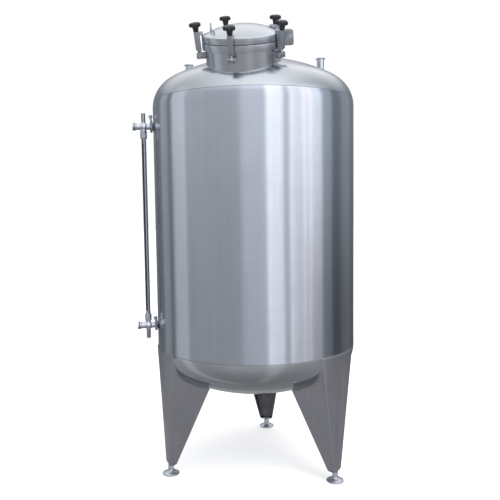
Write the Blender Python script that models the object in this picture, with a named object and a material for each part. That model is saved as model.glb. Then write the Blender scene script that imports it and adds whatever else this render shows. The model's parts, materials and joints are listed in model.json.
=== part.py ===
"""Vertical storage tank of stainless steel on three legs.

A round shell between two dished heads, a tilted round manway with a lid held by five swing clamps,
two pipe ports on the top head, a level gauge on the left side, an outlet at the lowest point, and
three tapered channel legs on round feet. Metres, +Z up, floor at height 0. The origin lies under
the middle of the part's box, and the tank's own axis is the empty named tank_axis.
"""

import math

import bmesh
import bpy
from mathutils import Matrix, Vector

# Driving dimensions of the vessel
AXIS_X = 0.0500
AXIS_Y = 0.0478
SHELL_R = 0.540
WALL = 0.004
SHELL_LOW = 0.676
SHELL_HIGH = 1.981
TANGENT_LOW = 0.676
TANGENT_HIGH = 1.946
CROWN_R = 0.972
KNUCKLE_R = 0.172
SEGMENTS = 48
KNUCKLE_STEPS = 4
CROWN_STEPS = 5
GAP = 0.0003
SEAT = 0.00035

# Driving dimensions of the legs
LEG_AZIMUTHS = {"back": 82.9, "front_left": 202.9, "front_right": 322.9}
LEG_PLATE = 0.004
LEG_LOW = 0.050
LEG_HIGH = 0.672
LEG_TOP_R = 0.545
LEG_TOP_HALF_ANGLE = math.radians(16.0)
LEG_FOOT_HALF_WIDTH = 0.036
LEG_FOOT_OUT = 0.520
LEG_IN_AT_FLOOR = 0.5075
LEG_IN_SLOPE = 0.41
LEG_SOLE = 0.008
LEG_TOE_HIGH = 0.015
LEG_TOE_IN = 0.007
LEG_TOE_SIDE = 0.014
LEG_MID_HEIGHTS = (0.26, 0.44, 0.57)
LEG_FACE_STEPS = 8
LEG_OVERLAP = 0.0005
FOOT_AXIS_R = 0.5034
FOOT_PAD_R = 0.045
FOOT_RIM_HIGH = 0.006
FOOT_HUB_R = 0.019
FOOT_HUB_HIGH = 0.017
FOOT_DOME_BOW = 0.0015
FOOT_STEM_R = 0.015
FOOT_STEM_LOW = 0.020

# Driving dimensions of the manway, along an axis nearly square to the head
MANWAY_X = -0.0437
MANWAY_Y = -0.3522
MANWAY_AIM_X = -0.0337
MANWAY_AIM_Y = -0.3588
NECK_R = 0.180
NECK_CUT_LOW = -0.080
RING_R = 0.194
RING_BORE = 0.176
RING_LOW = 0.0528
RING_HIGH = 0.0862
SEAL_HIGH = 0.0885
SEAL_INSET = 0.003
LID_LOW = 0.0888
LID_HIGH = 0.1186
LID_RISE = 0.0438
LID_FLAT_R = 0.182
LID_WALL = 0.004
LID_BORE = 0.177
LID_STEPS = 4
MANWAY_SEGMENTS = 40
HINGE_AZIMUTH = 3.8
HINGE_PIN_OUT = 0.2260
HINGE_PIN_HIGH = 0.0875
HINGE_PIN_R = 0.0050
HINGE_HEAD_R = 0.0080
HINGE_HEAD_THICK = 0.0040
HINGE_EAR_HALF = 0.0200
HINGE_EAR_LOW = 0.0505
HINGE_EAR_HIGH = 0.1020
HINGE_EAR_R = 0.0100
HINGE_EAR_BACK = 0.0800
HINGE_LEAF_HALF = 0.0120
HINGE_LEAF_LOW = 0.0700
HINGE_LEAF_HIGH = 0.1240
HINGE_LEAF_REST = 0.0960
HINGE_FAR = 0.2450
HINGE_BACK = 0.0040
HINGE_KNUCKLE = 0.0135
HANDLE_OUT = 0.146
HANDLE_HALF = 0.050
HANDLE_RISE = 0.030
HANDLE_BEND = 0.014
HANDLE_BAR_R = 0.0045
HANDLE_ROOT = 0.020

# Driving dimensions of one swing clamp, along its own stud from the pivot up
CLAMP_COUNT = 5
PIVOT_R = 0.2105
PIVOT_HIGH = 0.0265
CLAMP_LEAN = math.radians(3.6)
PIN_R = 0.005
EYE_R = 0.0125
EYE_HALF = 0.0085
EAR_IN = 0.0092
EAR_OUT = 0.0155
EAR_R = 0.0138
EAR_WEB = 0.0046
PIN_HEAD_R = 0.0080
PIN_HEAD_THICK = 0.0040
STUD_R = 0.007
STUD_LOW = 0.006
STUD_HIGH = 0.1435
CLAW_LOW = 0.0175
CLAW_HIGH = 0.1092
CLAW_IN = 0.0145
CLAW_OUT = 0.0130
CLAW_HALF = 0.0125
CLAW_CUT = 0.0125
CLAW_REACH = 0.0315
CLAW_BEVEL = 0.004
KNOB_BASE_R = 0.0120
KNOB_HUB_R = 0.0155
KNOB_HUB_HIGH = 0.1305
KNOB_HIGH = 0.1535
KNOB_R = 0.030
KNOB_LOBES = 5
KNOB_LOBE_STEPS = 6
KNOB_LOBE_DEPTH = 0.24
KNOB_EDGE = 0.006

# Driving dimensions of the pipe ports
PORT_RING_R = 0.3655
PORT_AZIMUTHS = {"right": -3.0, "left": 165.0}
PORT_TOP = 2.210
PIPE_R = 0.01905
PIPE_WALL = 0.002
FERRULE_R = 0.02525
FERRULE_THICK = 0.0045
FERRULE_TAPER = 0.0025
PORT_CUT_LONG = 0.160
OUTLET_LOW = 0.376
OUTLET_CUT_LONG = 0.080
PIPE_SEGMENTS = 18

# Driving dimensions of the level gauge
GAUGE_AZIMUTH = 191.0
GAUGE_HEIGHTS = {"upper": 1.850, "lower": 0.792}
GAUGE_FACE = 0.5490
GAUGE_TUBE_OUT = 0.5900
GAUGE_END = 0.6480
GAUGE_CAP_LONG = 0.018
GAUGE_CAP_R = 0.021
TEE_NECK_R = 0.0175
TEE_BELLY_R = 0.0208
TEE_BELLY_HALF = 0.010
GAUGE_STUB_R = 0.0115
GAUGE_STUB_LONG = 0.0700
GAUGE_SPIGOT_R = 0.015
GAUGE_SPIGOT_LONG = 0.024
GLAND_R = 0.0185
GLAND_LONG = 0.038
GUARD_R = 0.0125
GUARD_BORE = 0.0103
GUARD_SLOT_TURN = 60.0
GUARD_SLOT_HALF = 0.0050
GUARD_SLOT_LOW = 0.872
GUARD_SLOT_HIGH = 1.762
GLASS_R = 0.0098
GLASS_BORE = 0.0076
GAUGE_SIDES = 16
GAUGE_SEAT_DEPTH = 0.003
BAND_R = 0.0320
BAND_HALF = 0.0065
BAND_LUG_HALF = 0.0120
BAND_LUG_THICK = 0.0060
BAND_LUG_OUT = 0.0530
BAND_BOLT_OUT = 0.0460
BAND_BOLT_LEAN = 6.0
BAND_NUT_R = 0.0070
BAND_NUT_HIGH = 0.0350
BAND_WING_R = 0.0105
BAND_WING_HIGH = 0.0450
BAND_WING_HALF = 0.0022
BAND_WING_TURN = 15.0
BAND_SIDES = 12

# Finishes: colour, metallic value, roughness
STEEL = ((0.62, 0.63, 0.65), 1.0, 0.28)
LEG_STEEL = ((0.50, 0.51, 0.53), 1.0, 0.38)
KNOB_BLACK = ((0.012, 0.012, 0.013), 0.0, 0.35)
SEAL_BLACK = ((0.02, 0.02, 0.02), 0.0, 0.70)
SIGHT_CLEAR = ((0.80, 0.84, 0.84), 0.0, 0.10)


def clear_scene():
    for obj in list(bpy.data.objects):
        bpy.data.objects.remove(obj, do_unlink=True)


def make_finish(name, finish):
    colour, metallic, roughness = finish
    made = bpy.data.materials.new(name)
    made.use_nodes = True
    shader = made.node_tree.nodes["Principled BSDF"]
    shader.inputs["Base Color"].default_value = (*colour, 1.0)
    shader.inputs["Metallic"].default_value = metallic
    shader.inputs["Roughness"].default_value = roughness
    return made


def place(name, bm, parent, matrix):
    mesh = bpy.data.meshes.new(name)
    bm.to_mesh(mesh)
    bm.free()
    obj = bpy.data.objects.new(name, mesh)
    bpy.context.scene.collection.objects.link(obj)
    obj.parent = parent
    obj.matrix_local = matrix
    return obj


def make_part(name, bm, finish, parent, matrix=Matrix()):
    """One named sub-part with its own material, shaded smooth across its soft edges."""
    obj = place(name, bm, parent, matrix)
    obj.data.materials.append(make_finish(name + "_finish", finish))
    obj.data.shade_smooth()
    obj.data.set_sharp_from_angle(angle=math.radians(30.0))
    return obj


def make_cutter(name, bm, parent, matrix=Matrix()):
    obj = place(name, bm, parent, matrix)
    obj.hide_render = True
    obj.display_type = "WIRE"
    return obj


def make_empty(name, parent=None, matrix=Matrix()):
    empty = bpy.data.objects.new(name, None)
    bpy.context.scene.collection.objects.link(empty)
    empty.parent = parent
    empty.matrix_local = matrix
    return empty


def combine(obj, tool, operation):
    modifier = obj.modifiers.new(tool.name, "BOOLEAN")
    modifier.operation = operation
    modifier.solver = "EXACT"
    modifier.object = tool


def turned(outline, segments=SEGMENTS):
    """A body turned about Z from an outline of (radius, height) points.

    The outline closes on itself, or on the axis where its ends have no radius.
    """
    bm = bmesh.new()
    rim = [bm.verts.new((radius, 0.0, height)) for radius, height in outline]
    edges = [bm.edges.new(pair) for pair in zip(rim, rim[1:])]
    if outline[0][0] > 0.0:
        edges.append(bm.edges.new((rim[-1], rim[0])))
    bmesh.ops.spin(
        bm,
        geom=rim + edges,
        cent=(0.0, 0.0, 0.0),
        axis=(0.0, 0.0, 1.0),
        angle=math.tau,
        steps=segments,
        use_merge=True,
    )
    bmesh.ops.remove_doubles(bm, verts=bm.verts, dist=1e-5)
    bmesh.ops.recalc_face_normals(bm, faces=bm.faces)
    return bm


def rod(radius, low, high, segments=16):
    return turned([(0.0, low), (radius, low), (radius, high), (0.0, high)], segments)


def sleeve(bore, radius, low, high, segments=16):
    return turned([(bore, low), (radius, low), (radius, high), (bore, high)], segments)


def block(low, high):
    """A box between two corners."""
    bm = bmesh.new()
    size = Vector(high) - Vector(low)
    middle = (Vector(high) + Vector(low)) / 2.0
    matrix = Matrix.Translation(middle) @ Matrix.Diagonal((*size, 1.0))
    bmesh.ops.create_cube(bm, size=1.0, matrix=matrix)
    return bm


def plate(outline, low, high):
    """A flat outline of (x, z) points, given thickness from y = low to y = high."""
    bm = bmesh.new()
    face = bm.faces.new([bm.verts.new((x, low, z)) for x, z in outline])
    grown = bmesh.ops.extrude_face_region(bm, geom=[face])
    moved = [item for item in grown["geom"] if isinstance(item, bmesh.types.BMVert)]
    bmesh.ops.translate(bm, verts=moved, vec=(0.0, high - low, 0.0))
    bmesh.ops.recalc_face_normals(bm, faces=bm.faces)
    return bm


def arc(centre, radius, start, end, steps):
    """Points of an arc from start to end, in degrees."""
    points = []
    for step in range(steps + 1):
        angle = math.radians(start + (end - start) * step / steps)
        points.append(
            (centre[0] + radius * math.cos(angle), centre[1] + radius * math.sin(angle))
        )
    return points


def about_z(degrees):
    return Matrix.Rotation(math.radians(degrees), 4, "Z")


def head_curve(offset):
    """The dished head from its tangent line to its crown, as (radius, rise) points."""
    reach = CROWN_R - KNUCKLE_R
    knuckle_x = SHELL_R - KNUCKLE_R
    drop = math.sqrt(reach**2 - knuckle_x**2)
    turn = math.atan2(drop, knuckle_x)
    points = []
    for step in range(KNUCKLE_STEPS + 1):
        angle = turn * step / KNUCKLE_STEPS
        radius = KNUCKLE_R + offset
        points.append(
            (knuckle_x + radius * math.cos(angle), radius * math.sin(angle))
        )
    for step in range(1, CROWN_STEPS + 1):
        angle = turn + (math.pi / 2.0 - turn) * step / CROWN_STEPS
        radius = CROWN_R + offset
        points.append(
            (radius * math.cos(angle) if step < CROWN_STEPS else 0.0,
             radius * math.sin(angle) - drop)
        )
    return points


def crown_rise():
    """Height of the crown's outer surface over the tangent line, on the axis."""
    return head_curve(0.0)[-1][1]


def weld_radius(rise, offset):
    """Radius of the skin where a weld crosses the first flat of the knuckle."""
    (low_radius, _), (high_radius, high_rise) = head_curve(offset)[:2]
    return low_radius + (high_radius - low_radius) * rise / high_rise


def head_outline(tangent, weld, direction):
    """Closed outline of one head: outer skin from the weld to the crown, and back inside.

    A weld above the tangent line starts the outline in the knuckle, and one below it leaves
    a straight skirt on the head.
    """
    start = direction * (weld - tangent) + GAP

    def skin(offset):
        curve = head_curve(offset)
        if start > 0.0:
            curve[0] = (weld_radius(start, offset), start)
        else:
            curve.insert(0, (SHELL_R + offset, start))
        return [(radius, tangent + direction * rise) for radius, rise in curve]

    outer, inner = skin(0.0), skin(-WALL)
    return outer[::-1] + inner if direction < 0 else inner[::-1] + outer


def shell_outline():
    """Closed outline of the shell, whose upper end leans in with the first of the knuckle."""
    rise = SHELL_HIGH - TANGENT_HIGH
    return [
        (SHELL_R - WALL, SHELL_LOW),
        (SHELL_R, SHELL_LOW),
        (SHELL_R, TANGENT_HIGH),
        (weld_radius(rise, 0.0), SHELL_HIGH),
        (weld_radius(rise, -WALL), SHELL_HIGH),
        (SHELL_R - WALL, TANGENT_HIGH),
    ]


def vessel_envelope(offset):
    """The whole vessel as one solid with its skin moved out, which trims what is welded to it."""
    upper = [(radius, TANGENT_HIGH + rise) for radius, rise in head_curve(offset)]
    lower = [(radius, TANGENT_LOW - rise) for radius, rise in head_curve(offset)]
    return turned(upper[::-1] + lower)


def make_vessel(axis):
    """Shell and both heads. Round windows are cut where the manway and the pipes open."""
    shell = make_part("shell", turned(shell_outline()), STEEL, axis)
    top_outline = head_outline(TANGENT_HIGH, SHELL_HIGH, 1.0)
    top = make_part("top_head", turned(top_outline), STEEL, axis)
    bottom_outline = head_outline(TANGENT_LOW, SHELL_LOW, -1.0)
    bottom = make_part("bottom_head", turned(bottom_outline), STEEL, axis)
    return shell, top, bottom


def leg_section(height):
    """The channel's outline across one height, as (tangential, radial) points."""
    share = (height - LEG_LOW) / (LEG_HIGH - LEG_LOW)
    toe = max(0.0, 1.0 - (height - LEG_LOW) / LEG_TOE_HIGH)
    top_half = LEG_TOP_R * math.sin(LEG_TOP_HALF_ANGLE)
    top_corner = LEG_TOP_R * math.cos(LEG_TOP_HALF_ANGLE)
    half = LEG_FOOT_HALF_WIDTH + (top_half - LEG_FOOT_HALF_WIDTH) * share - LEG_TOE_SIDE * toe
    corner = LEG_FOOT_OUT + (top_corner - LEG_FOOT_OUT) * share - LEG_TOE_IN * toe
    bow = (LEG_TOP_R - top_corner) * share**2
    inner = LEG_IN_AT_FLOOR - LEG_IN_SLOPE * height + LEG_TOE_IN * toe
    outer = []
    for step in range(LEG_FACE_STEPS + 1):
        side = 2.0 * step / LEG_FACE_STEPS - 1.0
        outer.append((half * side, corner + bow * (1.0 - side**2)))
    narrow = (half - LEG_PLATE) / half
    back = [(across * narrow, out - LEG_PLATE) for across, out in reversed(outer)]
    return (
        [(-half, inner)]
        + outer
        + [(half, inner), (half - LEG_PLATE, inner)]
        + back
        + [(-half + LEG_PLATE, inner)]
    )


def leg_channel():
    """Sections from the foot to the weld, joined into one closed channel open to the inside."""
    bm = bmesh.new()
    heights = (LEG_LOW, LEG_LOW + LEG_TOE_HIGH, *LEG_MID_HEIGHTS, LEG_HIGH)
    rings = []
    for height in heights:
        ring = [bm.verts.new((out, -across, height)) for across, out in leg_section(height)]
        rings.append(ring)
    for low, high in zip(rings, rings[1:]):
        count = len(low)
        for step in range(count):
            after = (step + 1) % count
            bm.faces.new((low[step], low[after], high[after], high[step]))
    bm.faces.new(rings[0])
    bm.faces.new(rings[-1])
    bmesh.ops.recalc_face_normals(bm, faces=bm.faces)
    return bm


def foot_body():
    """A round pad with a domed upper side and its threaded stem."""
    stem_top = LEG_LOW - GAP
    outline = [(0.0, 0.0), (FOOT_PAD_R, 0.0), (FOOT_PAD_R, FOOT_RIM_HIGH)]
    for share in (1.0 / 3.0, 2.0 / 3.0):
        radius = FOOT_PAD_R + (FOOT_HUB_R - FOOT_PAD_R) * share
        height = FOOT_RIM_HIGH + (FOOT_HUB_HIGH - FOOT_RIM_HIGH) * share
        outline.append((radius, height + FOOT_DOME_BOW))
    outline += [
        (FOOT_HUB_R, FOOT_HUB_HIGH),
        (FOOT_STEM_R, FOOT_STEM_LOW),
        (FOOT_STEM_R, stem_top),
        (0.0, stem_top),
    ]
    return turned(outline, 20)


def make_legs(axis, envelope):
    """Three channel legs, each trimmed to the bottom head, on a sole plate and a round foot."""
    sole_in = LEG_IN_AT_FLOOR - LEG_IN_SLOPE * LEG_LOW + LEG_TOE_IN + LEG_OVERLAP
    sole_out = LEG_FOOT_OUT - LEG_TOE_IN - LEG_PLATE / 2.0
    sole_half = LEG_FOOT_HALF_WIDTH - LEG_TOE_SIDE - LEG_PLATE / 2.0
    for side, azimuth in LEG_AZIMUTHS.items():
        turn = about_z(azimuth)
        leg = make_part("leg_" + side, leg_channel(), LEG_STEEL, axis, turn)
        sole = make_cutter(
            "sole_" + side,
            block(
                (sole_in, -sole_half, LEG_LOW + LEG_OVERLAP),
                (sole_out, sole_half, LEG_LOW + LEG_SOLE),
            ),
            axis,
            turn,
        )
        combine(leg, sole, "UNION")
        combine(leg, envelope, "DIFFERENCE")
        foot_spot = turn @ Matrix.Translation((FOOT_AXIS_R, 0.0, 0.0))
        make_part("foot_" + side, foot_body(), STEEL, axis, foot_spot)


def manway_matrix():
    """Manway axis nearly square to the crown: it leans a little further front and right."""
    rise = math.sqrt(CROWN_R**2 - MANWAY_X**2 - MANWAY_Y**2)
    aim = math.sqrt(CROWN_R**2 - MANWAY_AIM_X**2 - MANWAY_AIM_Y**2)
    normal = Vector((MANWAY_AIM_X, MANWAY_AIM_Y, aim)) / CROWN_R
    across = Vector((0.0, 1.0, 0.0)).cross(normal).normalized()
    along = normal.cross(across)
    crown_centre = TANGENT_HIGH + crown_rise() - CROWN_R
    spot = Vector((MANWAY_X, MANWAY_Y, crown_centre + rise))
    matrix = Matrix((across, along, normal)).transposed().to_4x4()
    return Matrix.Translation(spot) @ matrix


def dome_height(radius, offset=0.0):
    """Height of the lid's shallow dome at one radius, over its flat rim."""
    dome_r = (LID_FLAT_R**2 + LID_RISE**2) / (2.0 * LID_RISE)
    return LID_HIGH + math.sqrt((dome_r + offset)**2 - radius**2) - (dome_r - LID_RISE)


def lid_outline():
    """Rim band, a shallow dome inside it, and the hollow under the dome."""
    outer = [LID_FLAT_R * step / LID_STEPS for step in range(LID_STEPS + 1)]
    inner = [LID_BORE * step / LID_STEPS for step in range(LID_STEPS, -1, -1)]
    rim = [(RING_R, LID_HIGH), (RING_R, LID_LOW), (LID_BORE, LID_LOW)]
    return (
        [(radius, dome_height(radius)) for radius in outer]
        + rim
        + [(radius, dome_height(radius, -LID_WALL)) for radius in inner]
    )


def make_manway(manway, envelope, top_head):
    """Neck, ring, seal and lid, and the round opening in the head under them."""
    neck = make_part(
        "manway_neck",
        sleeve(NECK_R - WALL, NECK_R, NECK_CUT_LOW, RING_LOW - GAP, MANWAY_SEGMENTS),
        STEEL,
        manway,
    )
    combine(neck, envelope, "DIFFERENCE")
    hole = make_cutter(
        "manway_hole", rod(NECK_R - WALL, NECK_CUT_LOW, RING_LOW, MANWAY_SEGMENTS), manway
    )
    combine(top_head, hole, "DIFFERENCE")
    make_part(
        "manway_ring",
        sleeve(RING_BORE, RING_R, RING_LOW, RING_HIGH, MANWAY_SEGMENTS),
        STEEL,
        manway,
    )
    make_part(
        "manway_seal",
        sleeve(
            RING_BORE + SEAL_INSET,
            RING_R - SEAL_INSET,
            RING_HIGH + GAP,
            SEAL_HIGH,
            MANWAY_SEGMENTS,
        ),
        SEAL_BLACK,
        manway,
    )
    make_part("manway_lid", turned(lid_outline(), MANWAY_SEGMENTS), STEEL, manway)


def bent_bar(path, radius, sides=10):
    """A round bar along a path of points that all share one x."""
    bm = bmesh.new()
    points = [Vector(point) for point in path]
    rings = []
    for step, point in enumerate(points):
        before = points[max(step - 1, 0)]
        after = points[min(step + 1, len(points) - 1)]
        along = (after - before).normalized()
        across = along.cross(Vector((1.0, 0.0, 0.0))).normalized()
        ring = []
        for side in range(sides):
            angle = math.tau * side / sides
            out = Vector((math.cos(angle), 0.0, 0.0)) + across * math.sin(angle)
            ring.append(bm.verts.new(point + out * radius))
        rings.append(ring)
    for low, high in zip(rings, rings[1:]):
        for side in range(sides):
            after = (side + 1) % sides
            bm.faces.new((low[side], low[after], high[after], high[side]))
    bm.faces.new(rings[0])
    bm.faces.new(rings[-1])
    bmesh.ops.recalc_face_normals(bm, faces=bm.faces)
    return bm


def make_handle(manway):
    """A bent round bar standing on the lid, opposite the hinge, its feet cut to the dome."""
    half = HANDLE_HALF
    bend = HANDLE_BEND
    foot = dome_height(HANDLE_OUT)
    top = foot + HANDLE_RISE
    path = [(-half, foot - HANDLE_ROOT)]
    path += arc((-half + bend, top - bend), bend, 180.0, 90.0, 4)
    path += arc((half - bend, top - bend), bend, 90.0, 0.0, 4)
    path += [(half, foot - HANDLE_ROOT)]
    points = [(HANDLE_OUT, across, high) for across, high in path]
    turn = about_z(HINGE_AZIMUTH + 180.0)
    handle = make_part("lid_handle", bent_bar(points, HANDLE_BAR_R), STEEL, manway, turn)
    dome = [LID_FLAT_R * step / LID_STEPS for step in range(LID_STEPS + 1)]
    outline = [(radius, dome_height(radius) + SEAT) for radius in dome]
    outline += [(RING_R, LID_HIGH + SEAT), (RING_R, RING_LOW), (0.0, RING_LOW)]
    lid_envelope = make_cutter("lid_envelope", turned(outline, MANWAY_SEGMENTS), manway)
    combine(handle, lid_envelope, "DIFFERENCE")


def hinge_ears():
    """Side outline of the bracket's two ears, given their full width."""
    near = RING_R + SEAT
    low_corner = (HINGE_FAR - HINGE_EAR_R, HINGE_EAR_LOW + HINGE_EAR_R)
    outline = [(near, HINGE_EAR_LOW)]
    outline += arc(low_corner, HINGE_EAR_R, -90.0, 0.0, 3)
    outline += [
        (HINGE_FAR, HINGE_EAR_HIGH - HINGE_EAR_R / 2.0),
        (HINGE_FAR - HINGE_EAR_R, HINGE_EAR_HIGH),
        (HINGE_PIN_OUT - HINGE_KNUCKLE, HINGE_EAR_HIGH),
        (near + HINGE_BACK, HINGE_EAR_BACK),
        (near, HINGE_EAR_BACK),
    ]
    return plate(outline, -HINGE_EAR_HALF, HINGE_EAR_HALF)


def hinge_leaf():
    """Side outline of the lid's leaf: it rests on the rim's edge and goes down round the pin."""
    near = RING_R + SEAT
    inside = HINGE_PIN_OUT - HINGE_KNUCKLE
    top_corner = (HINGE_FAR - HINGE_LEAF_HALF, HINGE_LEAF_HIGH - HINGE_LEAF_HALF)
    outline = [
        (near, HINGE_LEAF_REST),
        (inside, HINGE_LEAF_REST - HINGE_PIN_R),
        (inside, HINGE_LEAF_LOW + HINGE_PIN_R),
        (inside + HINGE_PIN_R, HINGE_LEAF_LOW),
        (HINGE_FAR, HINGE_LEAF_LOW),
    ]
    outline += arc(top_corner, HINGE_LEAF_HALF, 0.0, 90.0, 3)
    outline += [(near, HINGE_LEAF_HIGH)]
    return plate(outline, -HINGE_LEAF_HALF, HINGE_LEAF_HALF)


def headed_pin(radius, head_r, under_head, head_thick, sides):
    """A round pin along Z with a flat head at each end."""
    end = under_head + head_thick
    return turned(
        [
            (0.0, -end),
            (head_r, -end),
            (head_r, -under_head),
            (radius, -under_head),
            (radius, under_head),
            (head_r, under_head),
            (head_r, end),
            (0.0, end),
        ],
        sides,
    )


def make_hinge(manway):
    """Bracket with two ears on the ring, a leaf on the lid between them, and the pin."""
    turn = about_z(HINGE_AZIMUTH)
    spot = turn @ Matrix.Translation((HINGE_PIN_OUT, 0.0, HINGE_PIN_HIGH))
    spot = spot @ Matrix.Rotation(math.radians(-90.0), 4, "X")
    bracket = make_part("hinge_bracket", hinge_ears(), STEEL, manway, turn)
    slot = make_cutter(
        "hinge_slot",
        block(
            (RING_R + HINGE_BACK, -HINGE_LEAF_HALF - GAP, HINGE_EAR_LOW - HINGE_EAR_R),
            (HINGE_FAR + HINGE_EAR_R, HINGE_LEAF_HALF + GAP, HINGE_LEAF_HIGH),
        ),
        manway,
        turn,
    )
    bore = make_cutter(
        "hinge_bore",
        rod(HINGE_PIN_R + GAP, -2.0 * HINGE_EAR_HALF, 2.0 * HINGE_EAR_HALF, 16),
        manway,
        spot,
    )
    combine(bracket, slot, "DIFFERENCE")
    combine(bracket, bore, "DIFFERENCE")
    leaf = make_part("hinge_leaf", hinge_leaf(), STEEL, manway, turn)
    combine(leaf, bore, "DIFFERENCE")
    pin = headed_pin(HINGE_PIN_R, HINGE_HEAD_R, HINGE_EAR_HALF + GAP, HINGE_HEAD_THICK, 16)
    make_part("hinge_pin", pin, STEEL, manway, spot)


def lug_body():
    """Flat back against the neck and a round outer end, about the pivot."""
    back = NECK_R + SEAT - PIVOT_R
    outline = [(back, -EAR_R)] + arc((0.0, 0.0), EAR_R, -90.0, 90.0, 6) + [(back, EAR_R)]
    return plate(outline, -EAR_OUT, EAR_OUT)


def stud_body():
    """The round stud, from inside its eye to inside the knob."""
    return rod(STUD_R, STUD_LOW, STUD_HIGH, 12)


def claw_body():
    """A block round the stud with a finger that reaches in over the lid's rim.

    The finger's underside is level with the rim while the stud itself leans outward, and the
    block's lower outer edge is cut away.
    """
    rest = LID_HIGH + SEAT - PIVOT_HIGH

    def under(out):
        return (rest + out * math.sin(CLAMP_LEAN)) / math.cos(CLAMP_LEAN)

    return plate(
        [
            (-CLAW_IN, CLAW_LOW),
            (CLAW_OUT - CLAW_CUT, CLAW_LOW),
            (CLAW_OUT, CLAW_LOW + CLAW_CUT),
            (CLAW_OUT, CLAW_HIGH),
            (-CLAW_REACH + CLAW_BEVEL, CLAW_HIGH),
            (-CLAW_REACH, CLAW_HIGH - CLAW_BEVEL),
            (-CLAW_REACH, under(-CLAW_REACH)),
            (-CLAW_IN, under(-CLAW_IN)),
        ],
        -CLAW_HALF,
        CLAW_HALF,
    )


def knob_body():
    """Tapered hub under a five-lobed star, with a blind bore for the stud."""
    points = KNOB_LOBES * KNOB_LOBE_STEPS
    bm = bmesh.new()
    levels = (
        (KNOB_HUB_HIGH, 0.90),
        (KNOB_HUB_HIGH + KNOB_EDGE, 1.00),
        (KNOB_HIGH - KNOB_EDGE, 1.00),
        (KNOB_HIGH, 0.80),
    )
    rings = []
    for height, share in levels:
        ring = []
        for step in range(points):
            angle = math.tau * step / points
            lobe = 0.5 + 0.5 * math.cos(KNOB_LOBES * angle)
            radius = KNOB_R * share * (1.0 - KNOB_LOBE_DEPTH * (1.0 - lobe))
            ring.append(
                bm.verts.new((radius * math.cos(angle), radius * math.sin(angle), height))
            )
        rings.append(ring)
    for low, high in zip(rings, rings[1:]):
        for step in range(points):
            after = (step + 1) % points
            bm.faces.new((low[step], low[after], high[after], high[step]))
    bm.faces.new(rings[0])
    bm.faces.new(rings[-1])
    bmesh.ops.recalc_face_normals(bm, faces=bm.faces)
    return bm


def make_clamp(manway, number):
    """One swing clamp: lug with its pin on the neck, and a stud, claw and knob that swing on it."""
    azimuth = HINGE_AZIMUTH + 360.0 / CLAMP_COUNT * (number - 0.5)
    place_lug = about_z(azimuth) @ Matrix.Translation((PIVOT_R, 0.0, PIVOT_HIGH))
    lean = place_lug @ Matrix.Rotation(CLAMP_LEAN, 4, "Y")
    pivot = make_empty(f"clamp_pivot_{number}", manway, lean)
    across = Matrix.Rotation(math.radians(-90.0), 4, "X")

    lug = make_part(f"clamp_lug_{number}", lug_body(), STEEL, manway, place_lug)
    slot = make_cutter(
        f"lug_slot_{number}",
        block(
            (NECK_R + EAR_WEB - PIVOT_R, -EAR_IN, -2.0 * EAR_R),
            (2.0 * EAR_R, EAR_IN, 2.0 * EAR_R),
        ),
        manway,
        place_lug,
    )
    pin = make_cutter(
        f"lug_pin_{number}",
        headed_pin(PIN_R, PIN_HEAD_R, EAR_OUT - GAP, PIN_HEAD_THICK, 12),
        manway,
        place_lug @ across,
    )
    combine(lug, slot, "DIFFERENCE")
    combine(lug, pin, "UNION")

    stud = make_part(f"clamp_stud_{number}", stud_body(), STEEL, pivot)
    eye = make_cutter(f"stud_eye_{number}", rod(EYE_R, -EYE_HALF, EYE_HALF, 16), pivot, across)
    eye_bore = make_cutter(
        f"stud_bore_{number}", rod(PIN_R + GAP, -2.0 * EYE_HALF, 2.0 * EYE_HALF, 12), pivot, across
    )
    combine(stud, eye, "UNION")
    combine(stud, eye_bore, "DIFFERENCE")

    claw = make_part(f"clamp_claw_{number}", claw_body(), STEEL, pivot)
    claw_bore = make_cutter(
        f"claw_bore_{number}", rod(STUD_R + GAP, STUD_LOW, KNOB_HIGH, 12), pivot
    )
    combine(claw, claw_bore, "DIFFERENCE")

    knob = make_part(f"clamp_knob_{number}", knob_body(), KNOB_BLACK, pivot)
    hub = make_cutter(
        f"knob_hub_{number}",
        turned(
            [
                (0.0, CLAW_HIGH + GAP),
                (KNOB_BASE_R, CLAW_HIGH + GAP),
                (KNOB_HUB_R, KNOB_HUB_HIGH + KNOB_EDGE / 2.0),
                (0.0, KNOB_HUB_HIGH + KNOB_EDGE / 2.0),
            ],
            14,
        ),
        pivot,
    )
    knob_bore = make_cutter(
        f"knob_bore_{number}", rod(STUD_R + GAP, CLAW_LOW, STUD_HIGH + GAP, 12), pivot
    )
    combine(knob, hub, "UNION")
    combine(knob, knob_bore, "DIFFERENCE")


def pipe_with_ferrule(low, face):
    """A pipe rising to a clamp ferrule whose flat face is at the given height."""
    neck = face - FERRULE_THICK
    return turned(
        [
            (PIPE_R - PIPE_WALL, low),
            (PIPE_R, low),
            (PIPE_R, neck - FERRULE_TAPER),
            (FERRULE_R, neck),
            (FERRULE_R, face),
            (PIPE_R - PIPE_WALL, face),
        ],
        PIPE_SEGMENTS,
    )


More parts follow.
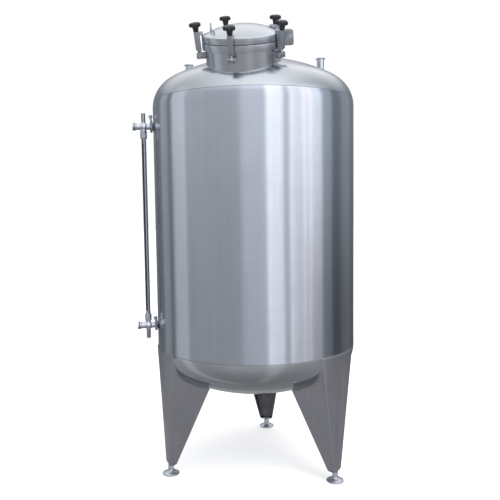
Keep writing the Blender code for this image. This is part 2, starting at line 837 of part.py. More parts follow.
def make_ports(axis, envelope, top_head, bottom_head):
    """Two upright pipe ports on the top head and the outlet under the bottom head."""
    for side, azimuth in PORT_AZIMUTHS.items():
        spot = about_z(azimuth) @ Matrix.Translation((PORT_RING_R, 0.0, 0.0))
        name = "top_port_" + side
        low = PORT_TOP - PORT_CUT_LONG
        port = make_part(name, pipe_with_ferrule(low, PORT_TOP), STEEL, axis, spot)
        combine(port, envelope, "DIFFERENCE")
        hole = make_cutter(
            name + "_hole",
            rod(PIPE_R - PIPE_WALL, low, PORT_TOP - FERRULE_THICK, PIPE_SEGMENTS),
            axis,
            spot,
        )
        combine(top_head, hole, "DIFFERENCE")
    flip = Matrix.Rotation(math.pi, 4, "X")
    outlet = make_part(
        "bottom_outlet",
        pipe_with_ferrule(-OUTLET_LOW - OUTLET_CUT_LONG, -OUTLET_LOW),
        STEEL,
        axis,
        flip,
    )
    combine(outlet, envelope, "DIFFERENCE")
    drain = make_cutter(
        "outlet_hole",
        rod(PIPE_R - PIPE_WALL, OUTLET_LOW, OUTLET_LOW + OUTLET_CUT_LONG, PIPE_SEGMENTS),
        axis,
    )
    combine(bottom_head, drain, "DIFFERENCE")


def tee_body():
    """Ferrule, a body that swells round the tube's line, and a round end cap, along Z."""
    face = GAUGE_FACE + GAP
    cap_low = GAUGE_END - GAUGE_CAP_LONG
    return turned(
        [
            (0.0, face),
            (FERRULE_R, face),
            (FERRULE_R, face + FERRULE_THICK),
            (TEE_NECK_R, face + FERRULE_THICK + FERRULE_TAPER),
            (TEE_BELLY_R, GAUGE_TUBE_OUT - TEE_BELLY_HALF),
            (TEE_BELLY_R, GAUGE_TUBE_OUT + TEE_BELLY_HALF),
            (TEE_NECK_R, cap_low),
            (GAUGE_CAP_R, cap_low),
            (GAUGE_CAP_R, GAUGE_END),
            (0.0, GAUGE_END),
        ],
        PIPE_SEGMENTS,
    )


def rod_from_middle(radius, reach):
    """A rod along Z from height 0 to the reach, which may be below it."""
    return rod(radius, min(0.0, reach), max(0.0, reach), GAUGE_SIDES)


def make_band(axis, name, spot, middle):
    """The band round two ferrules, with its lug and a wing nut on a leaning bolt, in front."""
    ring = sleeve(
        FERRULE_R + GAP, BAND_R, GAUGE_FACE - BAND_HALF, GAUGE_FACE + BAND_HALF, PIPE_SEGMENTS
    )
    band = make_part(name, ring, STEEL, axis, spot)
    lug = block(
        (-BAND_LUG_THICK, BAND_R - GAUGE_SEAT_DEPTH, -BAND_LUG_HALF),
        (BAND_LUG_THICK, BAND_LUG_OUT, BAND_LUG_HALF),
    )
    combine(band, make_cutter(name + "_lug", lug, axis, middle), "UNION")
    lean = Matrix.Rotation(math.radians(BAND_BOLT_LEAN), 4, "Y")
    bolt_spot = middle @ Matrix.Translation((0.0, BAND_BOLT_OUT, 0.0)) @ lean
    nut = rod(BAND_NUT_R, 0.0, BAND_NUT_HIGH, BAND_SIDES)
    combine(band, make_cutter(name + "_nut", nut, axis, bolt_spot), "UNION")
    wing_spot = bolt_spot @ Matrix.Translation((0.0, 0.0, BAND_WING_HIGH))
    wing_spot = wing_spot @ about_z(BAND_WING_TURN) @ Matrix.Rotation(math.pi / 2.0, 4, "X")
    wing = rod(BAND_WING_R, -BAND_WING_HALF, BAND_WING_HALF, BAND_SIDES)
    combine(band, make_cutter(name + "_wing", wing, axis, wing_spot), "UNION")


def make_gauge_end(axis, envelope, shell, level):
    """One end of the gauge: nozzle on the shell, clamp band, tee and the tube's gland nut."""
    turn = about_z(GAUGE_AZIMUTH)
    height = GAUGE_HEIGHTS[level]
    up = 1.0 if level == "upper" else -1.0
    outward = Matrix.Rotation(math.radians(90.0), 4, "Y")
    spot = turn @ Matrix.Translation((0.0, 0.0, height)) @ outward
    post = turn @ Matrix.Translation((GAUGE_TUBE_OUT, 0.0, height))
    name = "gauge_" + level

    pipe_low = SHELL_R - FERRULE_R
    pipe = pipe_with_ferrule(pipe_low, GAUGE_FACE)
    nozzle = make_part(name + "_nozzle", pipe, STEEL, axis, spot)
    combine(nozzle, envelope, "DIFFERENCE")
    window = rod(PIPE_R - PIPE_WALL, pipe_low, GAUGE_FACE, PIPE_SEGMENTS)
    combine(shell, make_cutter(name + "_hole", window, axis, spot), "DIFFERENCE")

    tee = make_part(name + "_tee", tee_body(), STEEL, axis, spot)
    stub = rod_from_middle(GAUGE_STUB_R, up * GAUGE_STUB_LONG)
    spigot = rod_from_middle(GAUGE_SPIGOT_R, -up * GAUGE_SPIGOT_LONG)
    combine(tee, make_cutter(name + "_stub", stub, axis, post), "UNION")
    combine(tee, make_cutter(name + "_spigot", spigot, axis, post), "UNION")

    nut_near = -up * (GAUGE_SPIGOT_LONG + GAP)
    nut_far = nut_near - up * GLAND_LONG
    nut = sleeve(GUARD_R + GAP, GLAND_R, nut_near, nut_far, GAUGE_SIDES)
    make_part(name + "_gland", nut, STEEL, axis, post)

    make_band(axis, name + "_clamp", spot, turn @ Matrix.Translation((GAUGE_FACE, 0.0, height)))


def make_gauge_tube(axis):
    """The glass between the two gland nuts, inside a guard tube with one long slot."""
    end = GAUGE_SPIGOT_LONG + GAP + GAUGE_SEAT_DEPTH
    low = GAUGE_HEIGHTS["lower"] + end
    high = GAUGE_HEIGHTS["upper"] - end
    post = about_z(GAUGE_AZIMUTH) @ Matrix.Translation((GAUGE_TUBE_OUT, 0.0, 0.0))
    tube = sleeve(GUARD_BORE, GUARD_R, low, high, GAUGE_SIDES)
    guard = make_part("gauge_guard", tube, STEEL, axis, post)
    window = block(
        (GLASS_BORE, -GUARD_SLOT_HALF, GUARD_SLOT_LOW),
        (GLAND_R, GUARD_SLOT_HALF, GUARD_SLOT_HIGH),
    )
    slot = make_cutter("guard_slot", window, axis, post @ about_z(GUARD_SLOT_TURN))
    combine(guard, slot, "DIFFERENCE")
    glass = sleeve(GLASS_BORE, GLASS_R, low, high, GAUGE_SIDES)
    make_part("gauge_glass", glass, SIGHT_CLEAR, axis, post)


def build():
    clear_scene()
    axis = make_empty("tank_axis", None, Matrix.Translation((AXIS_X, AXIS_Y, 0.0)))
    envelope = make_cutter("vessel_envelope", vessel_envelope(SEAT), axis)
    shell, top_head, bottom_head = make_vessel(axis)
    make_legs(axis, envelope)
    manway = make_empty("manway_axis", axis, manway_matrix())
    make_manway(manway, envelope, top_head)
    make_handle(manway)
    make_hinge(manway)
    for number in range(1, CLAMP_COUNT + 1):
        make_clamp(manway, number)
    make_ports(axis, envelope, top_head, bottom_head)
    for level in GAUGE_HEIGHTS:
        make_gauge_end(axis, envelope, shell, level)
    make_gauge_tube(axis)


build()
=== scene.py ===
"""Smooth pieces, finishes and a plain studio for a vertical stainless storage tank.

Lengths are metres, heights are over the floor, and azimuths turn from +X towards +Y.
"""

import json
import math

import bpy
import numpy as np
from mathutils import Matrix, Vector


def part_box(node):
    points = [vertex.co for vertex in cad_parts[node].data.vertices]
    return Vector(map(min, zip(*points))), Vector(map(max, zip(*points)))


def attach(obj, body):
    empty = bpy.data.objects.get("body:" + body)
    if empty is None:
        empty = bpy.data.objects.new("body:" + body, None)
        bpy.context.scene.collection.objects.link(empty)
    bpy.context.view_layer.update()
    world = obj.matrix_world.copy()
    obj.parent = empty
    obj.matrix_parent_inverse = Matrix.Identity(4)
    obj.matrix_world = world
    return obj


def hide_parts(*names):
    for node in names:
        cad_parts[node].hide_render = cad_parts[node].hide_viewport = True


bl_info = {
    "name": "Storage tank pieces",
    "version": (1, 0, 0),
    "blender": (4, 5, 0),
    "location": "3D View > Sidebar > Storage tank",
    "description": "Smooth pieces, brushed finishes and a studio for a vertical storage tank",
    "category": "Object",
}

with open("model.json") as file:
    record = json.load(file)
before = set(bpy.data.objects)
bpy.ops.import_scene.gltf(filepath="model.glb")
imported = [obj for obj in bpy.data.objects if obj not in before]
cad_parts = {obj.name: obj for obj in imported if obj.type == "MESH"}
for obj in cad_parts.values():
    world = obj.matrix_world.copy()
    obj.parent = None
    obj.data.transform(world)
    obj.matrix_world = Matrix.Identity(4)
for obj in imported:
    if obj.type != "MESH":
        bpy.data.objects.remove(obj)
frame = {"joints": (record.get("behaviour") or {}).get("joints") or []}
SHELL_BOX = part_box("shell")
CLAMPS = sorted(frame["joints"], key=lambda joint: joint["name"])
TURN = 2.0 * math.pi
QUARTER = math.pi / 2.0
TINY = 1e-9
VESSEL_STEPS = 288
HALVINGS = 40


def length(default, name, description):
    return bpy.props.FloatProperty(
        name=name, description=description, default=default, unit="LENGTH", precision=4
    )


def degrees(default, name, description):
    return bpy.props.FloatProperty(
        name=name, description=description, default=math.radians(default), subtype="ANGLE"
    )


def colour(default, name, description):
    return bpy.props.FloatVectorProperty(
        name=name, description=description, default=default, size=3, subtype="COLOR",
        min=0.0, max=1.0,
    )


def amount(default, name, description):
    return bpy.props.FloatProperty(name=name, description=description, default=default)


class TankVesselSizes(bpy.types.PropertyGroup):
    """Shell and heads."""

    radius: length(
        (SHELL_BOX[1].x - SHELL_BOX[0].x) / 2.0, "Radius", "Outside radius of the shell"
    )
    low: length(SHELL_BOX[0].z, "Lower weld", "Height of the weld under the shell")
    high: length(SHELL_BOX[1].z, "Upper weld", "Height of the weld over the shell")
    round_low: length(0.676, "Lower tangent line", "Height at which the lower head curves in")
    round_high: length(1.946, "Upper tangent line", "Height at which the upper head curves in")
    wall: length(0.004, "Wall", "Plate thickness")
    crown: length(0.972, "Crown radius", "Radius of the shallow middle of each head")
    knuckle: length(0.172, "Knuckle radius", "Radius of the tight edge of each head")
    inset: length(0.0006, "Inset", "How far the smooth skin lies inside the solids' corners")
    wave: length(0.0005, "Wave", "Unevenness of the rolled plate")
    weld: length(0.0040, "Weld width", "Width of the ground line at each weld")
    steel: colour((0.582, 0.612, 0.668), "Steel", "Reflection colour of the polished plate")


class TankLegSizes(bpy.types.PropertyGroup):
    """Channel legs and their feet."""

    azimuths: bpy.props.FloatVectorProperty(
        name="Azimuths", description="Where the back, left and right legs stand",
        default=[math.radians(a) for a in (82.9, 202.9, 322.9)], size=3, subtype="EULER",
    )
    plate: length(0.004, "Plate", "Thickness of the bent plate")
    # The inner skin is a darkened copy of the leg's steel: painted shade inside the channel, on
    # top of its real roughness.
    shade_lining: length(0.0008, "Inner skin", "Thickness of the dull skin inside the channel")
    low: length(0.050, "Lower end", "Height of the channel's lower end")
    high: length(0.672, "Upper end", "Height of the channel's upper edge on the outside")
    top_out: length(0.5446, "Top radius", "Distance of the outer face from the axis at the top")
    top_angle: degrees(16.0, "Top half angle", "Half the arc that the leg covers at the top")
    foot_half: length(0.036, "Foot half width", "Half the width at the lower end")
    foot_out: length(0.520, "Foot radius", "Distance of the outer face from the axis below")
    inner_out: length(0.5075, "Inner edge", "Distance of the inner edges at floor height")
    inner_slope: amount(0.41, "Inner slope", "How fast the inner edges run in with height")
    fold: length(0.009, "Fold", "Size of the rounded folds")
    toe_high: length(0.015, "Toe height", "Height over which the lower end narrows")
    toe_in: length(0.007, "Toe in", "How far the faces run in at the toe")
    toe_side: length(0.014, "Toe side", "How far the sides run in at the toe")
    weld: length(0.015, "Weld width", "Width of the dressed weld under the head")
    axis_out: length(0.5034, "Foot axis", "Distance of the foot's stem from the tank's axis")
    pad: length(0.0442, "Pad radius", "Radius of the round pad")
    stem: length(0.0145, "Stem radius", "Radius of the foot's stem")
    steel: colour((0.465, 0.472, 0.515), "Steel", "Reflection colour of the satin plate")


class TankManwaySizes(bpy.types.PropertyGroup):
    """Neck, ring, seal, lid, handle and hinge, measured along the manway's own axis."""

    neck: length(0.1797, "Neck radius", "Outside radius of the neck")
    wall: length(0.004, "Wall", "Plate thickness of the neck")
    bore: length(0.176, "Bore", "Radius of the clear opening")
    ring: length(0.1937, "Ring radius", "Outside radius of the ring and the lid")
    ring_low: length(0.0528, "Ring underside", "Height of the ring's underside")
    ring_high: length(0.0862, "Ring top", "Height of the ring's top")
    lid_low: length(0.0888, "Lid underside", "Height of the lid's underside")
    lid_high: length(0.1186, "Lid rim", "Height of the rim's top")
    lid_rise: length(0.0436, "Dome rise", "How far the dome rises over the rim")
    lid_flat: length(0.182, "Dome radius", "Radius at which the dome meets the rim")
    weld: length(0.0038, "Weld width", "Width of the dressed weld round the neck")
    handle_out: length(0.146, "Handle place", "Distance of the handle from the manway's axis")
    handle_half: length(0.050, "Handle half length", "Half the distance between its feet")
    handle_rise: length(0.0296, "Handle rise", "Height of the bar over the lid")
    handle_bend: length(0.014, "Handle bend", "Radius of the bends in the bar")
    handle_bar: length(0.0044, "Handle bar", "Radius of the bar")
    pin_out: length(0.2260, "Hinge pin place", "Distance of the hinge pin from the axis")
    pin_high: length(0.0875, "Hinge pin height", "Height of the hinge pin")
    hinge_far: length(0.2448, "Hinge reach", "Distance of the hinge's outer side")
    rubber: colour((0.018, 0.018, 0.020), "Seal", "Colour of the rubber seal")


class TankClampSizes(bpy.types.PropertyGroup):
    """Lugs, studs, claws and star knobs, measured from the pivot."""

    lean: degrees(3.6, "Lean", "How far the closed stud leans outward")
    back: length(-0.0305, "Lug back", "Where the lug meets the neck")
    ear: length(0.0137, "Ear radius", "Radius of the ears' round ends")
    ear_in: length(0.0092, "Ear inside", "Inner side of each ear")
    ear_out: length(0.0154, "Ear outside", "Outer side of each ear")
    pin: length(0.0079, "Pin head", "Radius of the pin's heads")
    eye: length(0.0124, "Eye radius", "Radius of the stud's round eye")
    stud: length(0.0070, "Stud radius", "Radius of the threaded stud")
    pitch: length(0.0020, "Thread pitch", "Distance between the threads")
    claw_low: length(0.0177, "Claw underside", "Lower end of the claw")
    claw_high: length(0.1090, "Claw top", "Upper end of the claw")
    claw_half: length(0.0124, "Claw half width", "Half the claw's width")
    claw_out: length(0.0129, "Claw outside", "Distance of the claw's outer face from the stud")
    claw_reach: length(0.0314, "Claw reach", "How far the finger reaches in")
    knob_low: length(0.1096, "Knob underside", "Lower end of the knob's hub")
    knob_star: length(0.1306, "Star underside", "Lower side of the star")
    knob_high: length(0.1534, "Knob top", "Upper end of the knob")
    knob: length(0.0299, "Knob radius", "Radius of the star's lobes")
    hub: length(0.0155, "Hub radius", "Radius of the knob's hub under the star")
    hub_low: length(0.0120, "Hub's lower radius", "Radius of the hub's lower end")
    plastic: colour((0.0105, 0.0115, 0.014), "Knob", "Colour of the moulded knobs")


class TankPipeSizes(bpy.types.PropertyGroup):
    """Pipe ports, the outlet and the level gauge."""

    ring: length(0.3655, "Port circle", "Distance of the top ports from the tank's axis")
    port_top: length(2.210, "Port height", "Height of the top ports' faces")
    outlet: length(0.376, "Outlet height", "Height of the outlet's face")
    pipe: length(0.01895, "Pipe radius", "Outside radius of the pipes")
    wall: length(0.002, "Pipe wall", "Wall of the pipes")
    ferrule: length(0.02515, "Ferrule radius", "Radius of the clamp ferrules")
    azimuth: degrees(191.0, "Gauge azimuth", "Side of the tank that carries the gauge")
    upper: length(1.850, "Upper tee", "Height of the gauge's upper tee")
    lower: length(0.792, "Lower tee", "Height of the gauge's lower tee")
    face: length(0.5490, "Gauge face", "Distance of the ferrules' faces from the tank's axis")
    tube: length(0.5900, "Tube place", "Distance of the gauge tube from the tank's axis")
    end: length(0.6478, "Tee end", "Distance of the tees' capped ends from the tank's axis")
    stub: length(0.0700, "Stub length", "Length of the stubs beyond the tees' axes")
    nut: length(0.0184, "Gland nut", "Corner radius of the gland nuts")
    guard: length(0.0125, "Guard radius", "Outside radius of the guard tube")
    slot_low: length(0.872, "Slot's lower end", "Height of the slot's lower end")
    slot_high: length(1.762, "Slot's upper end", "Height of the slot's upper end")
    slot_turn: degrees(60.0, "Slot turn", "How far the slot is turned towards the front")
    band_bolt: length(0.0460, "Band bolt", "Distance of the band's bolt from the pipe's axis")
    band_lean: degrees(6.0, "Bolt lean", "How far the band's bolt leans outward")
    # The glass colour is near black as painted shade: it stands in for the shade inside the guard
    # tube.
    glass: colour((0.028, 0.031, 0.032), "Glass", "Colour of the glass tube")


class TankStageSizes(bpy.types.PropertyGroup):
    """Camera, floor and light."""

    distance: length(3.4295, "Camera distance", "How far the camera stands in front of the axis")
    height: length(1.4489, "Camera height", "Height of the camera over the floor")
    yaw: amount(-0.0077, "Camera yaw", "Turn of the camera to the right, in radians")
    pitch: amount(0.0776, "Camera pitch", "How far the camera looks down, in radians")
    roll: amount(-0.0131, "Camera roll", "Roll of the camera, in radians")
    lens: amount(44.78, "Lens", "Focal length on a 36 mm wide image, in millimetres")
    floor: colour((0.93, 0.93, 0.93), "Floor", "Colour of the floor")


GROUPS = {
    "tank_vessel": TankVesselSizes,
    "tank_legs": TankLegSizes,
    "tank_manway": TankManwaySizes,
    "tank_clamps": TankClampSizes,
    "tank_pipes": TankPipeSizes,
    "tank_stage": TankStageSizes,
}


# Placing

def unit(vectors):
    return vectors / np.linalg.norm(vectors, axis=-1, keepdims=True)


def placing(origin, along_x, along_z):
    """A 4 x 4 matrix for a piece's own axes, from its origin, x direction and z direction."""
    z = unit(np.asarray(along_z, float))
    x = np.asarray(along_x, float)
    x = unit(x - (x @ z) * z)
    place = np.eye(4)
    place[:3, 0] = x
    place[:3, 1] = np.cross(z, x)
    place[:3, 2] = z
    place[:3, 3] = origin
    return place


def shifted(place, x=0.0, y=0.0, z=0.0):
    step = np.eye(4)
    step[:3, 3] = (x, y, z)
    return place @ step


def spun(place, axis, angle):
    return place @ np.array(Matrix.Rotation(angle, 4, axis))


def moved(points, place):
    return points @ place[:3, :3].T + place[:3, 3]


AXIS = np.array(
    ((SHELL_BOX[0].x + SHELL_BOX[1].x) / 2.0, (SHELL_BOX[0].y + SHELL_BOX[1].y) / 2.0, 0.0)
)
TANK = placing(AXIS, (1.0, 0.0, 0.0), (0.0, 0.0, 1.0))


def manway_place(pivot_high=0.0265):
    """The manway's own axes from the five clamp joints: x towards the lid's hinge, z outward."""
    spots = np.array([joint["pos_m"] for joint in CLAMPS])
    middle = spots.mean(0)
    out = spots - middle
    normal = unit(np.cross(out, np.roll(out, -1, axis=0)).sum(0))
    first = placing(middle, out[0], normal)
    return shifted(spun(first, "Z", -math.pi / len(CLAMPS)), z=-pivot_high)


MANWAY = manway_place()


# Closed bodies: points, and blocks of faces that hold the same number of corners each

def closed(points, faces):
    """The body with its faces turned outward: the sum of its corner pyramids is positive."""
    volume = 0.0
    for block in faces:
        corner = points[block]
        for step in range(1, block.shape[1] - 1):
            volume += np.einsum(
                "ij,ij->", corner[:, 0], np.cross(corner[:, step], corner[:, step + 1])
            )
    return points, [block[:, ::-1] if volume < 0.0 else block for block in faces]


def quads(index):
    return np.stack(
        [index[:-1, :-1], index[:-1, 1:], index[1:, 1:], index[1:, :-1]], -1
    ).reshape(-1, 4)


def grid_body(points, along=False, first=None, last=None):
    """A grid of rows of points, each row a closed ring. along joins the last row to the first.

    Otherwise first and last are the tips of the fans that close the ends, or None for flat ends.
    """
    rows, columns = points.shape[:2]
    index = np.arange(rows * columns).reshape(rows, columns)
    wide = np.concatenate([index, index[:, :1]], 1)
    flat = points.reshape(-1, 3)
    if along:
        return closed(flat, [quads(np.concatenate([wide, wide[:1]], 0))])
    faces = [quads(wide)]
    for ring, tip in ((wide[0, ::-1], first), (wide[-1], last)):
        if tip is None:
            faces.append(ring[None, :-1])
        else:
            fan = np.full(columns, len(flat))
            faces.append(np.stack([fan, ring[:-1], ring[1:]], -1))
            flat = np.concatenate([flat, np.asarray(tip, float)[None]])
    return closed(flat, faces)


def thick_body(outer, inner):
    """A plate between two grids of the same size, closed along its four edges."""
    rows, columns = outer.shape[:2]
    front = np.arange(rows * columns).reshape(rows, columns)
    back = front + rows * columns
    rims = [
        np.concatenate([side[0], side[1:, -1], side[-1, -2::-1], side[-2:0:-1, 0]])
        for side in (front, back)
    ]
    strip = np.stack([rims[0], rims[1], np.roll(rims[1], -1), np.roll(rims[0], -1)], -1)
    points = np.concatenate([outer.reshape(-1, 3), inner.reshape(-1, 3)])
    return closed(points, [quads(front), quads(back)[:, ::-1], strip])


def rounded(corners, loop=False, steps=5):
    """A line through (a, b, radius) corners, each corner replaced by an arc of its radius."""
    spots = np.array([corner[:2] for corner in corners], float)
    count = len(spots)
    side_share, nearly_straight = 0.499, 1.56
    line = []
    for here in range(count):
        radius = corners[here][2] if len(corners[here]) > 2 else 0.0
        if radius <= 0.0 or (not loop and here in (0, count - 1)):
            line.append(spots[here][None])
            continue
        back = spots[here - 1] - spots[here]
        ahead = spots[(here + 1) % count] - spots[here]
        room = side_share * min(np.linalg.norm(back), np.linalg.norm(ahead))
        back, ahead = unit(back), unit(ahead)
        half = math.acos(max(-1.0, min(1.0, float(back @ ahead)))) / 2.0
        if half > nearly_straight:
            line.append(spots[here][None])
            continue
        radius = min(radius, room * math.tan(half))
        centre = spots[here] + unit(back + ahead) * radius / math.sin(half)
        start = unit(spots[here] + back * radius / math.tan(half) - centre)
        stop = unit(spots[here] + ahead * radius / math.tan(half) - centre)
        sweep = math.pi - 2.0 * half
        share = np.linspace(0.0, 1.0, steps + 1)[:, None]
        arc = (np.sin((1.0 - share) * sweep) * start + np.sin(share * sweep) * stop)
        line.append(centre + radius * arc / math.sin(sweep))
    return np.concatenate(line)


def once_round(count):
    """Even angles once round, the last one a step short of the first."""
    return np.arange(count) * (TURN / count)


def around(radius, angle, height):
    """Points (r cos t, r sin t, h) from arrays of the radius r, the angle t and the height h."""
    across = radius * np.cos(angle)
    return np.stack([across, radius * np.sin(angle), np.broadcast_to(height, across.shape)], -1)


def turned(profile, segments=64, place=TANK):
    """(r cos t, r sin t, h), with (r, h) along the profile and t once round.

    The profile closes on itself, or starts and ends on the axis.
    """
    profile = np.asarray(profile, float)
    on_axis = profile[0, 0] < TINY
    line = profile[1:-1] if on_axis else profile
    points = moved(around(line[:, None, 0], once_round(segments), line[:, None, 1]), place)
    if not on_axis:
        return grid_body(points, along=True)
    tips = np.zeros((2, 3))
    tips[:, 2] = profile[[0, -1], 1]
    tips = moved(tips, place)
    return grid_body(points, first=tips[0], last=tips[1])


def spindle(corners, segments, place=TANK, loop=False, steps=5):
    """The (radius, height, rounding) corners turned about the place's z."""
    return turned(rounded(corners, loop, steps), segments, place)


def oblong(near, low, far, high, edges=()):
    """Four corners, each with its rounding where there are edges."""
    corners = [(near, low), (far, low), (far, high), (near, high)]
    return [(*corner, edge) for corner, edge in zip(corners, edges)] if edges else corners


def sleeve(inner, outer, low, high, segments, place=TANK):
    """A plain tube between two radii and two heights, or a solid rod where the inner one is 0."""
    return turned(oblong(inner, low, outer, high), segments, place)


def swept(path, section, up):
    """Each point of the path plus the section's (a, b) along the path's side and upper side."""
    path = np.asarray(path, float)
    section = np.asarray(section, float)
    along = unit(np.gradient(path, axis=0))
    side = unit(np.cross(along, np.asarray(up, float)))
    over = np.cross(side, along)
    points = (
        path[:, None]
        + section[None, :, :1] * side[:, None]
        + section[None, :, 1:] * over[:, None]
    )
    return grid_body(points)


def slab(outline, low, high, edge, place, steps=3):
    """An (x, z) outline carried from y = low to y = high, its edges rounded by a quarter turn."""
    outline = np.asarray(outline, float)
    after = unit(np.roll(outline, -1, axis=0) - outline)
    before = np.roll(after, 1, axis=0)
    turn = np.sign(np.sum(outline[:, 0] * np.roll(outline[:, 1], -1)
                          - np.roll(outline[:, 0], -1) * outline[:, 1]))
    normals = [turn * np.stack([way[:, 1], -way[:, 0]], -1) for way in (before, after)]
    mitre = (normals[0] + normals[1]) / (
        1.0 + np.sum(normals[0] * normals[1], axis=1, keepdims=True)
    )
    angle = np.linspace(0.0, QUARTER, steps + 1)
    inset = edge * (1.0 - np.sin(angle))
    depth = edge * (1.0 - np.cos(angle))
    inset = np.concatenate([inset, inset[::-1]])
    across = np.concatenate([low + depth, high - depth[::-1]])
    spots = outline[None] - inset[:, None, None] * mitre[None]
    points = np.stack(
        [spots[..., 0], np.broadcast_to(across[:, None], spots.shape[:2]), spots[..., 1]], -1
    )
    return grid_body(moved(points, place))


def weld_body(base, way_a, way_b, width_a, width_b, loop=False, sink=0.0022, steps=6,
              bite=0.0003, full=0.16):
    """A dressed weld in the corner between two faces.

    At each point of the base line its section is the curve (1-t)^2 A + 2t(1-t) C + t^2 B, with
    A and B on the two faces, a bite deep, and C off the corner by the full share of the widths.
    It is closed under the corner, a sink deep.
    """
    share = np.linspace(0.0, 1.0, steps + 1)[None, :, None]
    point_a = (base + way_a * width_a - way_b * bite)[:, None]
    point_b = (base + way_b * width_b - way_a * bite)[:, None]
    pull = (base + (way_a * width_a + way_b * width_b) * full)[:, None]
    curve = (1.0 - share) ** 2 * point_a + 2.0 * share * (1.0 - share) * pull
    curve = curve + share**2 * point_b
    under = (base - (way_a + way_b) * sink)[:, None]
    return grid_body(np.concatenate([curve, under], 1), along=loop)


# Vessel skin

def head_turn(size):
    """Where the knuckle meets the crown: its angle, the knuckle's centre and the crown's drop."""
    middle = size.radius - size.knuckle
    drop = math.sqrt((size.crown - size.knuckle) ** 2 - middle**2)
    return math.atan2(drop, middle), middle, drop


def skin(points, size):
    """Distance of points from the vessel's outer skin, and the outward direction there.

    Over the tangent line it is the distance from a ring for the knuckle, or from the crown's
    centre nearer the axis; between the tangent lines it is the distance from the cylinder.
    """
    turn, middle, drop = head_turn(size)
    local = points - AXIS
    out = np.hypot(local[..., 0], local[..., 1])
    top = local[..., 2] > (size.low + size.high) / 2.0
    sign = np.where(top, 1.0, -1.0)
    rise = np.where(top, local[..., 2] - size.round_high, size.round_low - local[..., 2])
    lean = np.arctan2(rise, out - middle)
    crown = (rise > 0.0) & (lean > turn)
    side = rise <= 0.0
    flat = np.where(side, 1.0, np.where(crown, out, out - middle))
    steep = np.where(side, 0.0, np.where(crown, rise + drop, rise))
    reach = np.hypot(flat, steep)
    distance = np.where(
        side,
        out - size.radius,
        np.where(crown, reach - size.crown, reach - size.knuckle),
    ) + size.inset
    radial = local[..., :2] / np.maximum(out, TINY)[..., None] * (flat / reach)[..., None]
    return distance, np.concatenate([radial, (sign * steep / reach)[..., None]], -1)


def down_to_skin(start, way, reach, size):
    """How far each start point goes along its way until it meets the skin, by halving."""
    low = np.zeros(start.shape[:-1])
    high = np.broadcast_to(np.asarray(reach, float), low.shape).copy()
    for _ in range(HALVINGS):
        middle = (low + high) / 2.0
        outside = skin(start + way * middle[..., None], size)[0] > 0.0
        low = np.where(outside, middle, low)
        high = np.where(outside, high, middle)
    return (low + high) / 2.0


def barrel_radius(height, size):
    """Outside radius up to the upper weld: the cylinder's, then that of the knuckle's circle."""
    rise = np.maximum(height - size.round_high, 0.0)
    return size.radius - size.knuckle + np.sqrt(size.knuckle**2 - rise**2) - size.inset


def head_profile(size, offset, start, knuckle_steps, crown_steps):
    """(radius, rise) from the weld to the crown: two arcs that share a tangent.

    The weld's rise is over the tangent line, or under it at the end of a straight skirt.
    """
    turn, middle, drop = head_turn(size)
    knuckle = size.knuckle + offset
    crown = size.crown + offset
    tight = np.linspace(math.asin(max(start, 0.0) / knuckle), turn, knuckle_steps + 1)
    wide = np.linspace(turn, QUARTER, crown_steps + 1)[1:]
    first = np.stack([middle + knuckle * np.cos(tight), knuckle * np.sin(tight)], -1)
    second = np.stack([crown * np.cos(wide), crown * np.sin(wide) - drop], -1)
    second[-1, 0] = 0.0
    if start < 0.0:
        first = np.concatenate([[(size.radius + offset, start)], first])
    return np.concatenate([first, second])


# Making pieces

def link_mesh(name, bodies, sharp):
    points = np.concatenate([body[0] for body in bodies])
    corners, counts, start = [], [], 0
    for body_points, faces in bodies:
        for block in faces:
            corners.append((block + start).ravel())
            counts.append(np.full(len(block), block.shape[1]))
        start += len(body_points)
    corners = np.concatenate(corners).astype(np.int32)
    counts = np.concatenate(counts)
    mesh = bpy.data.meshes.new(name)
    mesh.vertices.add(len(points))
    mesh.vertices.foreach_set("co", points.astype(np.float32).ravel())
    mesh.loops.add(len(corners))
    mesh.loops.foreach_set("vertex_index", corners)
    mesh.polygons.add(len(counts))
    starts = np.concatenate([[0], np.cumsum(counts)[:-1]]).astype(np.int32)
    mesh.polygons.foreach_set("loop_start", starts)
    mesh.update(calc_edges=True)
    if mesh.validate():
        raise RuntimeError(f"{name} has faces that are not sound")
    mesh.shade_smooth()
    mesh.set_sharp_from_angle(angle=math.radians(sharp))
    made = bpy.data.objects.new(name, mesh)
    bpy.context.scene.collection.objects.link(made)
    return made


def make_piece(name, bodies, finish, replaces=(), body="tank", sharp=38.0, cuts=()):
    """One piece of closed bodies with its finish, which rides on a body and stands for nodes."""
    made = link_mesh(name, bodies, sharp)
    if cuts:
        tool = link_mesh(name + "_cut", cuts, sharp)
        cut = made.modifiers.new("cut", "BOOLEAN")
        cut.operation = "DIFFERENCE"
        cut.solver = "EXACT"
        cut.object = tool
        solved = made.evaluated_get(bpy.context.evaluated_depsgraph_get())
        mesh = bpy.data.meshes.new_from_object(solved)
        made.modifiers.clear()
        made.data = mesh
        bpy.data.objects.remove(tool, do_unlink=True)
    made.data.materials.clear()
    made.data.materials.append(finish)
    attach(made, body)
    if replaces:
        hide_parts(*replaces)
    return made


# Finishes

NOISE_SPAN = (0.3, 0.7)


def new_finish(name):
    finish = bpy.data.materials.get(name)
    if finish:
        return finish, None
    finish = bpy.data.materials.new(name)
    finish.use_nodes = True
    return finish, finish.node_tree


def wire(tree, source, target):
    tree.links.new(source, target)


def math_node(tree, operation, first, second=None):
    node = tree.nodes.new("ShaderNodeMath")
    node.operation = operation
    for socket, value in zip(node.inputs, (first, second)):
        if value is None:
            continue
        if isinstance(value, (int, float)):
            socket.default_value = value
        else:
            wire(tree, value, socket)
    return node.outputs[0]


